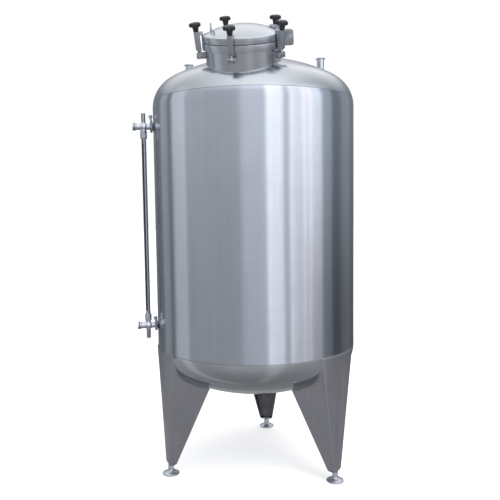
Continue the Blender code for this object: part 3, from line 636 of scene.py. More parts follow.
def stretched(tree, scale=(1.0, 1.0, 1.0), centre=(0.0, 0.0, 0.0)):
    """The piece's own coordinates, moved to a centre and stretched."""
    place = tree.nodes.new("ShaderNodeTexCoord")
    mapping = tree.nodes.new("ShaderNodeMapping")
    mapping.vector_type = "POINT"
    mapping.inputs["Location"].default_value = [-c * s for c, s in zip(centre, scale)]
    mapping.inputs["Scale"].default_value = scale
    wire(tree, place.outputs["Object"], mapping.inputs["Vector"])
    return mapping.outputs["Vector"]


def ringed(tree, scale, slow):
    """Coordinates for a grain in rings: distance from the tank's axis, height, and a slow turn."""
    local = tree.nodes.new("ShaderNodeSeparateXYZ")
    wire(tree, stretched(tree, centre=tuple(AXIS)), local.inputs[0])
    squares = [math_node(tree, "MULTIPLY", local.outputs[way], local.outputs[way])
               for way in "XY"]
    out = math_node(tree, "SQRT", math_node(tree, "ADD", *squares))
    joined = tree.nodes.new("ShaderNodeCombineXYZ")
    wire(tree, math_node(tree, "MULTIPLY", out, scale), joined.inputs["X"])
    wire(tree, math_node(tree, "MULTIPLY", local.outputs["Z"], scale), joined.inputs["Y"])
    slow_turn = math_node(
        tree, "MULTIPLY", math_node(tree, "ADD", local.outputs["X"], local.outputs["Y"]), slow
    )
    wire(tree, slow_turn, joined.inputs["Z"])
    return joined.outputs[0]


def noise(tree, vector, scale, detail=2.0, rough=0.5):
    node = tree.nodes.new("ShaderNodeTexNoise")
    node.inputs["Scale"].default_value = scale
    node.inputs["Detail"].default_value = detail
    node.inputs["Roughness"].default_value = rough
    wire(tree, vector, node.inputs["Vector"])
    return node.outputs["Fac"]


def toned(tone, share):
    return tuple(c * share for c in tone)


def ranged(tree, value, low, high, start=0.0, stop=1.0):
    node = tree.nodes.new("ShaderNodeMapRange")
    node.inputs["From Min"].default_value = start
    node.inputs["From Max"].default_value = stop
    node.inputs["To Min"].default_value = low
    node.inputs["To Max"].default_value = high
    wire(tree, value, node.inputs["Value"])
    return node.outputs["Result"]


def tinted(tree, value, dark, light):
    node = tree.nodes.new("ShaderNodeMix")
    node.data_type = "RGBA"
    node.inputs["A"].default_value = (*dark, 1.0)
    node.inputs["B"].default_value = (*light, 1.0)
    wire(tree, value, node.inputs["Factor"])
    return node.outputs["Result"]


def bumped(tree, height, depth, strength=1.0, before=None):
    node = tree.nodes.new("ShaderNodeBump")
    node.inputs["Distance"].default_value = depth
    node.inputs["Strength"].default_value = strength
    wire(tree, height, node.inputs["Height"])
    if before is not None:
        wire(tree, before, node.inputs["Normal"])
    return node.outputs["Normal"]


def steel_finish(name, tone, rough, grain, depth, cloud, rings=False, wave=0.0, streak=0.0):
    """Ground or polished steel: a grain stretched along the polishing, and soft cloudy marks.

    wave is the depth of the plate's slow swell, and streak the strength of its upright stripes.
    """
    finish, tree = new_finish(name)
    if tree is None:
        return finish
    shader = tree.nodes["Principled BSDF"]
    shader.inputs["Metallic"].default_value = 1.0
    vector = ringed(tree, grain[2], grain[0]) if rings else stretched(tree, grain)
    lines = noise(tree, vector, 1.0, detail=3.0, rough=0.6)
    clouds = noise(tree, stretched(tree), 7.0, detail=4.0)
    half_lines = math_node(tree, "MULTIPLY", lines, 0.5)
    mixed = math_node(tree, "ADD", half_lines, math_node(tree, "MULTIPLY", clouds, 0.5))
    light = tuple(min(1.0, c) for c in toned(tone, 1.0 + cloud))
    colour_now = tinted(tree, ranged(tree, mixed, 0.0, 1.0, *NOISE_SPAN),
                        toned(tone, 1.0 - cloud), light)
    if streak > 0.0:
        stripes = noise(tree, stretched(tree, (20.0, 20.0, 0.7)), 1.0, detail=5.0, rough=0.6)
        cool = (1.0 - 1.3 * streak, 1.0 - streak, 1.0 - 0.5 * streak)
        warm = (1.0 + streak, 1.0 + 0.6 * streak, 1.0 + 0.8 * streak)
        spread = tinted(tree, ranged(tree, stripes, 0.0, 1.0, *NOISE_SPAN), cool, warm)
        colour_now = vector_node(tree, "MULTIPLY", colour_now, spread)
    wire(tree, colour_now, shader.inputs["Base Color"])
    wire(tree, ranged(tree, mixed, rough * 1.25, rough * 0.8, *NOISE_SPAN),
         shader.inputs["Roughness"])
    normal = bumped(tree, lines, depth)
    if wave > 0.0:
        swell = noise(tree, stretched(tree, (1.0, 1.0, 0.16)), 5.0, detail=2.0, rough=0.4)
        normal = bumped(tree, swell, wave, before=normal)
    wire(tree, normal, shader.inputs["Normal"])
    return finish


def plastic_finish(name, tone, rough):
    """Moulded plastic: a fine skin, with small differences in gloss where hands have been."""
    finish, tree = new_finish(name)
    if tree is None:
        return finish
    shader = tree.nodes["Principled BSDF"]
    fine = noise(tree, stretched(tree), 900.0)
    clouds = noise(tree, stretched(tree), 45.0, detail=3.0)
    wire(tree, tinted(tree, clouds, toned(tone, 0.8), toned(tone, 1.5)),
         shader.inputs["Base Color"])
    wire(tree, ranged(tree, clouds, rough * 0.8, rough * 1.3), shader.inputs["Roughness"])
    wire(tree, bumped(tree, fine, 0.00008), shader.inputs["Normal"])
    return finish


def shaded_glass_finish(name, tone):
    """Drawn glass tube, given a near-black colour and little transmission as painted shade for the
    dark inside of its guard, faintly uneven along it.
    """
    finish, tree = new_finish(name)
    if tree is None:
        return finish
    shader = tree.nodes["Principled BSDF"]
    shader.inputs["Transmission Weight"].default_value = 0.25
    shader.inputs["IOR"].default_value = 1.47
    drawn = noise(tree, stretched(tree, (120.0, 120.0, 6.0)), 1.0)
    wire(tree, tinted(tree, drawn, toned(tone, 0.97), tone), shader.inputs["Base Color"])
    wire(tree, ranged(tree, drawn, 0.02, 0.06), shader.inputs["Roughness"])
    wire(tree, bumped(tree, drawn, 0.00004), shader.inputs["Normal"])
    return finish


# Each steel's finish, source and share of tone, roughness, grain, depth, cloudiness and extras
STEELS = {
    "shell": ("polished_shell", "polished", 1.0, 0.14, (9.0, 9.0, 620.0), 0.000010, 0.05,
              {"wave": 0.0014, "streak": 0.045}),
    "head": ("polished_head", "polished", 1.0, 0.25, (3.0, 3.0, 520.0), 0.000012, 0.05,
             {"rings": True, "wave": 0.0010}),
    "lower_head": ("polished_lower_head", "polished", 1.0, 0.13, (3.0, 3.0, 520.0), 0.000012, 0.05,
                   {"rings": True, "wave": 0.0008}),
    "seam": ("ground_seam", "polished", 0.62, 0.30, (60.0, 60.0, 90.0), 0.00008, 0.06, {}),
    "weld": ("dressed_weld", "polished", 1.06, 0.34, (60.0, 60.0, 90.0), 0.00008, 0.06, {}),
    "leg": ("satin_leg", "satin", 1.0, 0.32, (260.0, 260.0, 5.0), 0.00003, 0.13,
            {"wave": 0.0008, "streak": 0.05}),
    "pad": ("turned_pad", "polished", 1.05, 0.40, (300.0, 300.0, 60.0), 0.00004, 0.08, {}),
    # The channel's inside: rougher satin steel, and its tone at 0.42 is painted shade in the
    # channel's hollow.
    "leg_inside_shade": ("rough_leg_inside_painted_shade", "satin", 0.42, 0.55, (60.0, 60.0, 14.0), 0.00006, 0.18, {}),
    "leg_weld": ("dressed_leg_weld", "satin", 1.18, 0.36, (70.0, 70.0, 70.0), 0.00012, 0.10, {}),
    "fitting": ("turned_fitting", "polished", 1.0, 0.20, (40.0, 40.0, 500.0), 0.00002, 0.05, {}),
    # The tees take the polished steel at 1.20 of its tone: a lighter copy that stands in for their
    # bright highlight, painted highlight.
    "tee": ("turned_tee_painted_highlight", "polished", 1.20, 0.30, (400.0, 400.0, 60.0), 0.00002, 0.08, {}),
    # The guard and stubs take the polished steel at 0.62 of its tone: a darker copy that stands in
    # for their dim reflections, painted shade.
    "guard": ("drawn_guard_painted_shade", "polished", 0.62, 0.26, (300.0, 300.0, 4.0), 0.00002, 0.10, {}),
    "ring": ("turned_ring", "polished", 1.0, 0.22, (5.0, 5.0, 560.0), 0.00002, 0.05, {}),
    "claw": ("ground_claw", "polished", 0.86, 0.36, (160.0, 160.0, 40.0), 0.00005, 0.10, {}),
    "cast": ("cast_lug", "polished", 0.72, 0.40, (190.0, 190.0, 190.0), 0.00030, 0.20, {}),
}


def finishes(context):
    """Every finish of the tank by name."""
    scene = context.scene
    steels = {"polished": scene.tank_vessel.steel, "satin": scene.tank_legs.steel}
    made = {}
    for key, (name, steel, share, rough, grain, depth, cloud, extras) in STEELS.items():
        tone = toned(steels[steel], share)
        made[key] = steel_finish(name, tone, rough, grain, depth, cloud, **extras)
    made["knob"] = plastic_finish("moulded_knob", tuple(scene.tank_clamps.plastic), 0.34)
    made["rubber"] = plastic_finish("moulded_seal", tuple(scene.tank_manway.rubber), 0.62)
    # The glass finish is near black as painted shade for the inside of the guard.
    made["glass"] = shaded_glass_finish("drawn_glass_painted_shade", tuple(scene.tank_pipes.glass))
    return made


# Vessel

def shell_body(size, rows=80, back_rows=40):
    """Radius B(h) - w f (2.2 + sum of three sines of t and h) / 4.4 outside, B the barrel's.

    The sines, 2.2 high at most, are the small waves of a rolled plate, and f brings them to
    nothing at both welds. The inside is plain.
    """
    angle = once_round(VESSEL_STEPS)
    height = np.linspace(size.low, size.high, rows)[:, None]
    share = (height - size.low) / (size.high - size.low)
    fade = np.clip(np.minimum(share, 1.0 - share) * 14.0, 0.0, 1.0)
    waves = (
        np.sin(5.0 * angle + 3.1 * height)
        + 0.7 * np.sin(9.0 * angle - 5.3 * height + 1.0)
        + 0.5 * np.sin(14.0 * angle + 2.0 * height + 2.0)
    )
    radius = barrel_radius(height, size) - size.wave * fade * (waves + 2.2) / 4.4
    back = np.linspace(size.high, size.low, back_rows)[:, None]
    bore = np.broadcast_to(barrel_radius(back, size) - size.wall, (back_rows, VESSEL_STEPS))
    points = around(np.concatenate([radius, bore]), angle, np.concatenate([height, back]))
    return grid_body(moved(points, TANK), along=True)


def head_body(size, top):
    """The head's two arcs turned about the tank's axis, with the same arcs inside for the wall."""
    sign = 1.0 if top else -1.0
    tangent = size.round_high if top else size.round_low
    start = sign * ((size.high if top else size.low) - tangent)
    outer = head_profile(size, -size.inset, start, 26, 44)
    inner = head_profile(size, -size.inset - size.wall, start, 12, 16)
    line = [(radius, tangent + sign * rise) for radius, rise in outer]
    hidden = [(radius, tangent + sign * rise) for radius, rise in inner]
    return turned(line[::-1] + hidden, VESSEL_STEPS)


def seam_band(size, seam, lift=0.00022):
    """A narrow ground line over a seam, r = B(h) - 0.1 mm + lift cos(pi u / 2), u across it."""
    across = np.linspace(-1.0, 1.0, 9)
    height = seam + size.weld / 2.0 * across
    skin_r = barrel_radius(height, size)
    line = np.stack([skin_r - 0.0001 + lift * np.cos(across * math.pi / 2.0), height], -1)
    under = np.stack([skin_r[[-1, 0]] - 0.0020, height[[-1, 0]]], -1)
    return turned(np.concatenate([line, under]), VESSEL_STEPS)


def make_vessel(context):
    size = context.scene.tank_vessel
    pipes = context.scene.tank_pipes
    finish = finishes(context)
    make_piece("shell_barrel", [shell_body(size)], finish["shell"], ("shell",))
    bore = pipes.pipe - pipes.wall
    top_cuts = [sleeve(0.0, bore, -0.20, 0.0, 32, place) for place in port_places(pipes).values()]
    make_piece("upper_head", [head_body(size, True)], finish["head"],
               ("top_head",), cuts=top_cuts)
    drain = sleeve(0.0, bore, 0.40, 0.56, 32)
    make_piece("lower_head", [head_body(size, False)], finish["lower_head"],
               ("bottom_head",), cuts=[drain])
    for name, seam in (("girth_line", size.high), ("lower_line", size.low)):
        make_piece(name, [seam_band(size, seam)], finish["seam"])


# Legs

FOLD_START, FOLD_SPAN, FOLD_END, SIDE_SPAN = 0.45, 0.10, 0.55, 0.45


def leg_place(azimuth):
    return spun(TANK, "Z", azimuth)


def leg_wall(column, height, size):
    """The bent plate's outer face, for columns from -1 at one free edge to 1 at the other.

    Each section has a bowed outer face, a curve (1-k)^2 B + 2k(1-k) C + k^2 A round the fold,
    and a straight side that runs in to the free edge. The fold's constants are columns.
    """
    share = (height - size.low) / (size.high - size.low)
    toe = np.clip(1.0 - (height - size.low) / size.toe_high, 0.0, 1.0) ** 1.6
    top_half = size.top_out * math.sin(size.top_angle)
    top_corner = size.top_out * math.cos(size.top_angle)
    half = size.foot_half + (top_half - size.foot_half) * share - size.toe_side * toe
    corner = size.foot_out + (top_corner - size.foot_out) * share - size.toe_in * toe
    bow = (size.top_out - top_corner) * np.clip(share, 0.0, 1.0) ** 2
    inner = size.inner_out - size.inner_slope * height + size.toe_in * toe
    hand = np.sign(column)
    place = np.abs(column)
    limit = 1.0 - size.fold / half
    face = np.minimum(place / FOLD_START, 1.0) * limit
    face_out = corner + bow * (1.0 - face**2)
    bend = np.clip((place - FOLD_START) / FOLD_SPAN, 0.0, 1.0)
    start_out = corner + bow * (1.0 - limit**2)
    bend_out = (1.0 - bend) ** 2 * start_out + 2.0 * bend * (1.0 - bend) * corner
    bend_out = bend_out + bend**2 * (corner - size.fold)
    bend_side = (1.0 - bend) ** 2 * half * limit + (1.0 - (1.0 - bend) ** 2) * half
    run = np.clip((place - FOLD_END) / SIDE_SPAN, 0.0, 1.0) ** 1.35
    side_out = (corner - size.fold) * (1.0 - run) + inner * run
    parts = [place <= FOLD_START, place <= FOLD_END]
    out = np.select(parts, [face_out, bend_out], side_out)
    across = np.select(parts, [half * face, bend_side], half)
    return np.stack([out, hand * across, height], -1)


def leg_columns():
    run = np.concatenate([np.linspace(0.0, FOLD_START, 19), np.linspace(0.46, FOLD_END, 9),
                          np.linspace(0.57, 1.0, 34)])
    return np.concatenate([-run[:0:-1], run])


def leg_tops(columns, size, vessel, place):
    """Height at which each column of the plate meets the head, or the plate's upper edge."""
    low = np.full(columns.shape, size.low + 0.1)
    high = np.full(columns.shape, size.high)
    for _ in range(HALVINGS):
        middle = (low + high) / 2.0
        gap = skin(moved(leg_wall(columns, middle, size), place), vessel)[0]
        low = np.where(gap > 0.0, middle, low)
        high = np.where(gap > 0.0, high, middle)
    return (low + high) / 2.0


def leg_bodies(size, vessel, place):
    """The bent plate as a wall of even thickness, its inner face darkened as painted shade, and
    the sole plate.
    """
    columns = leg_columns()
    tops = leg_tops(columns, size, vessel, place)
    low_rows = size.low + size.toe_high * np.linspace(0.0, 1.0, 9)[:-1]
    share = np.linspace(0.0, 1.0, 60)[:, None]
    upper = (size.low + size.toe_high) * (1.0 - share) + tops[None] * share
    heights = np.concatenate([np.broadcast_to(low_rows[:, None], (8, len(columns))), upper])
    outer = leg_wall(np.broadcast_to(columns, heights.shape), heights, size)
    across = np.gradient(outer, axis=1)
    upward = np.gradient(outer, axis=0)
    normal = unit(np.cross(across, upward))
    if normal[30, len(columns) // 2, 0] < 0.0:
        normal = -normal
    skins = [moved(outer - normal * depth, place)
             for depth in (0.0, size.plate - size.shade_lining, size.plate)]
    plate = thick_body(skins[0], skins[1] + (skins[0] - skins[1]) * 0.02)
    # The thin inner skin that carries the painted shade inside the channel.
    shade_lining = thick_body(skins[1], skins[2])
    play = 0.001
    sole_in = size.inner_out - size.inner_slope * size.low + size.toe_in + play
    sole_out = size.foot_out - size.toe_in - play
    half = size.foot_half - size.toe_side - play
    sole = slab(oblong(sole_in, size.low + 0.0002, sole_out, size.low + 0.008), -half, half,
                0.0008, place)
    return [plate, sole], [shade_lining], columns, tops


def leg_welds(columns, tops, size, vessel, place):
    """A broad dressed weld under the head along both sides, and a narrow one over the top."""
    bodies = []
    fold_middle, fade_end, fade_span, least = 0.50, 1.02, 0.10, 0.25
    for hand in (-1.0, 1.0):
        chosen = (columns * hand > fold_middle) & (columns * hand <= 1.0)
        line = columns[chosen]
        height = tops[chosen]
        base = moved(leg_wall(line, height, size), place)
        lower = moved(leg_wall(line, height - 0.004, size), place)
        way_down = unit(lower - base)
        outward = skin(base, vessel)[1]
        sideways = place[:3, 1] * hand
        way_out = unit(sideways - (outward @ sideways)[:, None] * outward)
        fade = np.clip((fade_end - np.abs(line)) / fade_span, least, 1.0)
        width = size.weld * fade[:, None]
        bodies.append(weld_body(base, way_down, way_out, width, width, steps=8))
    line = np.linspace(-0.52, 0.52, 61)
    top = leg_wall(line, np.full(line.shape, size.high), size)
    angle = np.arctan2(top[:, 1], top[:, 0])
    radius = vessel.radius - vessel.inset
    base = moved(around(radius, angle, size.high - 0.0005), place)
    way_out = unit(moved(top, place) - base + 1e-12)
    way_out[:, 2] = 0.0
    way_out = unit(way_out)
    way_up = np.broadcast_to((0.0, 0.0, 1.0), base.shape)
    step = np.linalg.norm((moved(top, place) - base)[:, :2], axis=1)[:, None]
    bodies.append(weld_body(base, way_up, way_out, 0.0085, step + 0.0002, sink=0.0008))
    return bodies


def foot_profile(size):
    corners = [
        (0.0, 0.0002), (size.pad - 0.002, 0.0002), (size.pad, 0.0015, 0.001),
        (size.pad, 0.0065, 0.0022), (0.036, 0.0118, 0.030), (0.0195, 0.0168, 0.006),
        (size.stem + 0.0006, 0.0215, 0.003), (size.stem, 0.0270, 0.002),
        (size.stem, size.low - 0.0008, 0.0006), (0.0, size.low - 0.0008),
    ]
    return rounded(corners, steps=6)


def make_legs(context):
    size = context.scene.tank_legs
    vessel = context.scene.tank_vessel
    finish = finishes(context)
    for side, azimuth in zip(("back", "front_left", "front_right"), size.azimuths):
        place = leg_place(azimuth)
        bodies, shade_linings, columns, tops = leg_bodies(size, vessel, place)
        make_piece("channel_" + side, bodies, finish["leg"], ("leg_" + side,))
        # The inner skin of each leg, darkened as painted shade.
        make_piece("channel_inside_shade_" + side, shade_linings, finish["leg_inside_shade"])
        *welds, top_weld = leg_welds(columns, tops, size, vessel, place)
        make_piece("leg_weld_" + side, welds, finish["leg_weld"])
        make_piece("leg_top_weld_" + side, [top_weld], finish["seam"])
        foot = turned(foot_profile(size), 56, shifted(place, x=size.axis_out))
        make_piece("pad_" + side, [foot], finish["pad"], ("foot_" + side,))


# Manway

def trimmed_tube(profile, bore, place, vessel, segments, start, sink=0.002):
    """A tube whose lower end follows the vessel's skin.

    Its outside is the (radius, height) profile, its inside the bore, and below the profile's
    first point each column goes on straight to the skin.
    """
    profile = np.asarray(profile, float)
    angle = once_round(segments)
    ways = np.broadcast_to(-place[:3, 2], (segments, 3))

    def ring(radius, height):
        return around(radius, angle, height)

    ends = []
    for radius in (profile[0, 0], bore):
        fall = down_to_skin(moved(ring(radius, start), place), ways, start + 0.4, vessel)
        ends.append(start - fall)
    share = np.linspace(0.0, 1.0, 8)[:-1]
    rows = [ring(profile[0, 0], (ends[0] - sink) * (1.0 - s) + profile[0, 1] * s) for s in share]
    rows += [ring(radius, height) for radius, height in profile]
    rows += [ring(bore, ends[1] - sink)]
    base = moved(ring(profile[0, 0], ends[0]), place)
    return grid_body(moved(np.stack(rows), place), along=True), base


def base_weld(base, place, vessel, width):
    """A dressed weld round a tube's foot, between the tube and the skin."""
    up = np.broadcast_to(place[:3, 2], base.shape)
    outward = skin(base, vessel)[1]
    away = base - place[:3, 3]
    away = away - (away @ place[:3, 2])[:, None] * place[:3, 2]
    away = unit(away)
    away = unit(away - np.sum(away * outward, axis=1, keepdims=True) * outward)
    return weld_body(base, up, away, width, width, loop=True, sink=0.0012)


def dome_height(radius, size, offset=0.0):
    """Height of the lid's dome: a sphere that rises from the rim's inner edge."""
    sphere = (size.lid_flat**2 + size.lid_rise**2) / (2.0 * size.lid_rise)
    return size.lid_high + np.sqrt((sphere + offset) ** 2 - radius**2) - (sphere - size.lid_rise)


def lid_profile(size):
    """Dome, a small flat step, the rim's upright band with a narrow chamfer, and the hollow."""
    out = np.linspace(0.0, size.lid_flat, 40)
    dome = [(r, float(dome_height(r, size))) for r in out]
    rim = rounded(
        [(size.lid_flat, size.lid_high), (size.ring, size.lid_high, 0.0026),
         (size.ring, size.lid_low, 0.0016), (size.bore + 0.001, size.lid_low)], steps=5
    )
    back = np.linspace(size.bore + 0.001, 0.0, 20)
    hollow = [(r, float(dome_height(r, size, -size.wall))) for r in back]
    return np.concatenate([dome, rim[1:], hollow])


def handle_path(size):
    """Up from the lid, round a bend, along, round a bend and down, all in one plane."""
    foot = float(dome_height(size.handle_out, size))
    half, bend, top = size.handle_half, size.handle_bend, foot + size.handle_rise
    line = rounded(
        [(-half, foot - 0.004), (-half, top, bend), (half, top, bend), (half, foot - 0.004)],
        steps=10,
    )
    spans = np.concatenate([[0.0], np.cumsum(np.linalg.norm(np.diff(line, axis=0), axis=1))])
    even = np.linspace(0.0, spans[-1], 60)
    across = np.interp(even, spans, line[:, 0])
    high = np.interp(even, spans, line[:, 1])
    return np.stack([np.full(across.shape, -size.handle_out), across, high], -1)


def hinge_bodies(size):
    """Two ears with round corners on a back plate, the lid's leaf between them, and the pin."""
    near = size.ring + 0.0006
    far = size.hinge_far
    ear = rounded(
        [(near, 0.0510), (far, 0.0510, 0.010), (far, 0.1015, 0.014),
         (size.pin_out - 0.012, 0.1015, 0.004), (near + 0.004, 0.0805, 0.003), (near, 0.0800)],
        loop=True,
    )
    ears = [slab(ear, low, low + 0.0076, 0.0010, MANWAY) for low in (-0.0199, 0.0123)]
    web = slab(oblong(near, 0.0515, near + 0.0042, 0.0790), -0.0124, 0.0124, 0.0004, MANWAY)
    inside = size.pin_out - 0.0135
    leaf = rounded(
        [(near, 0.0962), (inside, 0.0912, 0.002), (inside, 0.0752, 0.003),
         (inside + 0.005, 0.0702, 0.003), (far, 0.0702, 0.004), (far, 0.1238, 0.012),
         (near, 0.1238, 0.002)],
        loop=True,
    )
    leaves = [slab(leaf, -0.0119, 0.0119, 0.0014, MANWAY)]
    pin_place = spun(shifted(MANWAY, x=size.pin_out, z=size.pin_high), "X", -QUARTER)
    half, rod, head, head_high, edge = 0.0239, 0.005, 0.0078, 0.0036, 0.0012
    pin = spindle(
        [(0.0, -half), (head, -half, edge), (head, -half + head_high), (rod, -half + head_high),
         (rod, half - head_high), (head, half - head_high), (head, half, edge), (0.0, half)],
        32, pin_place,
    )
    return ears + [web], leaves, [pin]


def make_manway(context):
    size = context.scene.tank_manway
    vessel = context.scene.tank_vessel
    finish = finishes(context)
    around_lid = 200
    inside, top = size.neck - size.wall, size.ring_low - 0.0003
    neck, base = trimmed_tube([(size.neck, -0.004), (size.neck, top), (inside, top)], inside,
                              MANWAY, vessel, around_lid, 0.03)
    make_piece("neck_wall", [neck], finish["ring"], ("manway_neck",))
    make_piece("neck_weld", [base_weld(base, MANWAY, vessel, size.weld)], finish["seam"])
    ring = oblong(size.bore, size.ring_low, size.ring, size.ring_high,
                  (0.001, 0.0022, 0.0016, 0.001))
    make_piece("neck_ring", [spindle(ring, around_lid, MANWAY, loop=True)], finish["ring"],
               ("manway_ring",))
    back, gap = 0.003, 0.0002
    seal = oblong(size.bore + back, size.ring_high + gap, size.ring - back, size.lid_low - gap,
                  (0.0006, 0.0009, 0.0009, 0.0006))
    make_piece("lid_seal", [spindle(seal, 160, MANWAY, loop=True)], finish["rubber"],
               ("manway_seal",))
    make_piece("domed_lid", [turned(lid_profile(size), around_lid, MANWAY)], finish["ring"],
               ("manway_lid",))
    section = around(size.handle_bar, once_round(20), 0.0)[:, :2]
    bar = swept(moved(handle_path(size), MANWAY), section, MANWAY[:3, 0])
    bodies = [bar]
    for across in (-size.handle_half, size.handle_half):
        spot = shifted(MANWAY, x=-size.handle_out, y=across)
        foot = float(dome_height(math.hypot(size.handle_out, across), size)) - 0.0005
        collar = [(0.0, foot - 0.003), (0.0066, foot - 0.003), (0.0066, foot + 0.0002, 0.0006),
                  (size.handle_bar + 0.0003, foot + 0.0026, 0.002), (0.0, foot + 0.0030)]
        bodies.append(spindle(collar, 28, spot))
    make_piece("lid_bar", bodies, finish["fitting"], ("lid_handle",))
    ears, leaves, pins = hinge_bodies(size)
    make_piece("hinge_ears", ears, finish["cast"], ("hinge_bracket",))
    make_piece("hinge_strap", leaves, finish["cast"], ("hinge_leaf",))
    make_piece("hinge_rod", pins, finish["fitting"], ("hinge_pin",))


# Clamps

def lug_bodies(size, place):
    """Two ears with round ends about the pivot, joined by a back plate, and the pin."""
    ear = rounded(
        [(size.back, -size.ear), (0.0, -size.ear), (size.ear, -size.ear, size.ear),
         (size.ear, size.ear, size.ear), (0.0, size.ear), (size.back, size.ear)],
        loop=True, steps=8,
    )
    bodies = [
        slab(ear, size.ear_in, size.ear_out, 0.0012, place),
        slab(ear, -size.ear_out, -size.ear_in, 0.0012, place),
        slab(oblong(size.back, -size.ear, size.back + 0.0045, size.ear),
             -size.ear_in - 0.001, size.ear_in + 0.001, 0.0004, place),
    ]
    end = size.ear_out + 0.0037
    head = size.ear_out - 0.0005
    half = [(0.0, -end + 0.0022), (0.0034, -end + 0.0022, 0.0006), (0.0040, -end, 0.0006),
            (size.pin, -end, 0.0014), (size.pin, -head), (0.005, -head)]
    mirror = [(entry[0], -entry[1], *entry[2:]) for entry in half[::-1]]
    pin = spindle(half + mirror, 32, spun(place, "X", -QUARTER))
    return bodies, [pin]


def threaded(radius, depth, pitch, low, high, place, segments=28):
    """Radius R - d |2 frac(h / p - t / 2 pi) - 1|: a ridge that climbs one pitch each turn."""
    rows = max(8, int(round((high - low) / pitch * 6.0)))
    height = np.linspace(low, high, rows)[:, None]
    angle = once_round(segments)[None]
    phase = np.mod(height / pitch - angle / TURN, 1.0)
    taper = np.clip(np.minimum(height - low, high - height) / 0.001, 0.0, 1.0)
    inset = depth * (np.abs(2.0 * phase - 1.0) * taper + (1.0 - taper))
    return grid_body(moved(around(radius - inset, angle, height), place))


def stud_bodies(size, place):
    """A threaded rod that ends in a round eye on the pin."""
    half, hole = 0.0084, 0.0053
    eye = spindle(oblong(hole, -half, size.eye, half, (0.0004, 0.0018, 0.0018, 0.0004)), 36,
                  spun(place, "X", -QUARTER), loop=True)
    rod = threaded(size.stud - 0.0001, 0.0008, size.pitch, 0.0095, size.claw_low + 0.004, place)
    core = sleeve(0.0, 0.0058, 0.020, size.knob_high - 0.012, 24, place)
    return [eye, rod, core]


def claw_bodies(size, place):
    """A block round the stud whose finger lies level on the lid's rim while the stud leans."""
    rest = 0.09285
    inner = -0.0144

    def under(out):
        return (rest + out * math.sin(size.lean)) / math.cos(size.lean)

    reach = size.claw_reach
    outline = rounded(
        [(inner, size.claw_low, 0.002), (0.0012, size.claw_low, 0.005),
         (size.claw_out, size.claw_low + 0.0122, 0.005), (size.claw_out, size.claw_high, 0.0022),
         (-reach + 0.003, size.claw_high, 0.003), (-reach, size.claw_high - 0.004, 0.003),
         (-reach, under(-reach), 0.001), (inner, under(inner), 0.0012)],
        loop=True,
    )
    return [slab(outline, -size.claw_half, size.claw_half, 0.0016, place)]


def knob_bodies(size, place, lobes=5, segments=120):
    """Star knob: the round hub blends into R (1 - 0.115 (1 - cos 5t) + 0.010 (1 - cos 10t)).

    Rows run from under the hub, up its taper, out below the star, round its edge and over a
    low dome. Each has its share of the hub's radius, its share of the star's, the blend and the
    height.
    """
    angle = once_round(segments)
    wave = np.cos(lobes * angle)
    star = size.knob * (1.0 - 0.115 * (1.0 - wave) + 0.010 * (1.0 - np.cos(2.0 * lobes * angle)))
    low, mid, top = size.knob_low, size.knob_star, size.knob_high
    foot = size.hub_low / size.hub
    rows = np.array([
        (foot - 0.06, 0.0, 0.0, low), (foot, 0.0, 0.0, low + 0.0010),
        (0.5 + 0.5 * foot, 0.0, 0.0, low + 0.5 * (mid - low)), (0.99, 0.0, 0.0, mid - 0.0022),
        (1.04, 0.0, 0.0, mid - 0.0003),
        (0.0, 0.70, 1.0, mid + 0.0006), (0.0, 0.84, 1.0, mid + 0.0012),
        (0.0, 0.93, 1.0, mid + 0.0028), (0.0, 0.98, 1.0, mid + 0.0056),
        (0.0, 1.00, 1.0, mid + 0.0090), (0.0, 1.00, 1.0, top - 0.0105),
        (0.0, 0.98, 1.0, top - 0.0078), (0.0, 0.93, 1.0, top - 0.0056),
        (0.0, 0.85, 1.0, top - 0.0040), (0.0, 0.74, 1.0, top - 0.0027),
        (0.0, 0.62, 1.0, top - 0.0017), (0.0, 0.48, 0.8, top - 0.0009),
        (0.62, 0.0, 0.0, top - 0.0003), (0.30, 0.0, 0.0, top - 0.0001),
    ])
    hub = rows[:, :1] * size.hub
    blend = rows[:, 2:3]
    radius = hub * (1.0 - blend) + rows[:, 1:2] * star[None] * blend
    partly = (blend > 0.0) & (blend < 1.0)
    radius = np.where(partly, rows[:, 1:2] * size.knob * 0.88, radius)
    points = moved(around(radius, angle, rows[:, 3:4]), place)
    tips = moved(np.array([(0.0, 0.0, low), (0.0, 0.0, top)]), place)
    return [grid_body(points, first=tips[0], last=tips[1])]


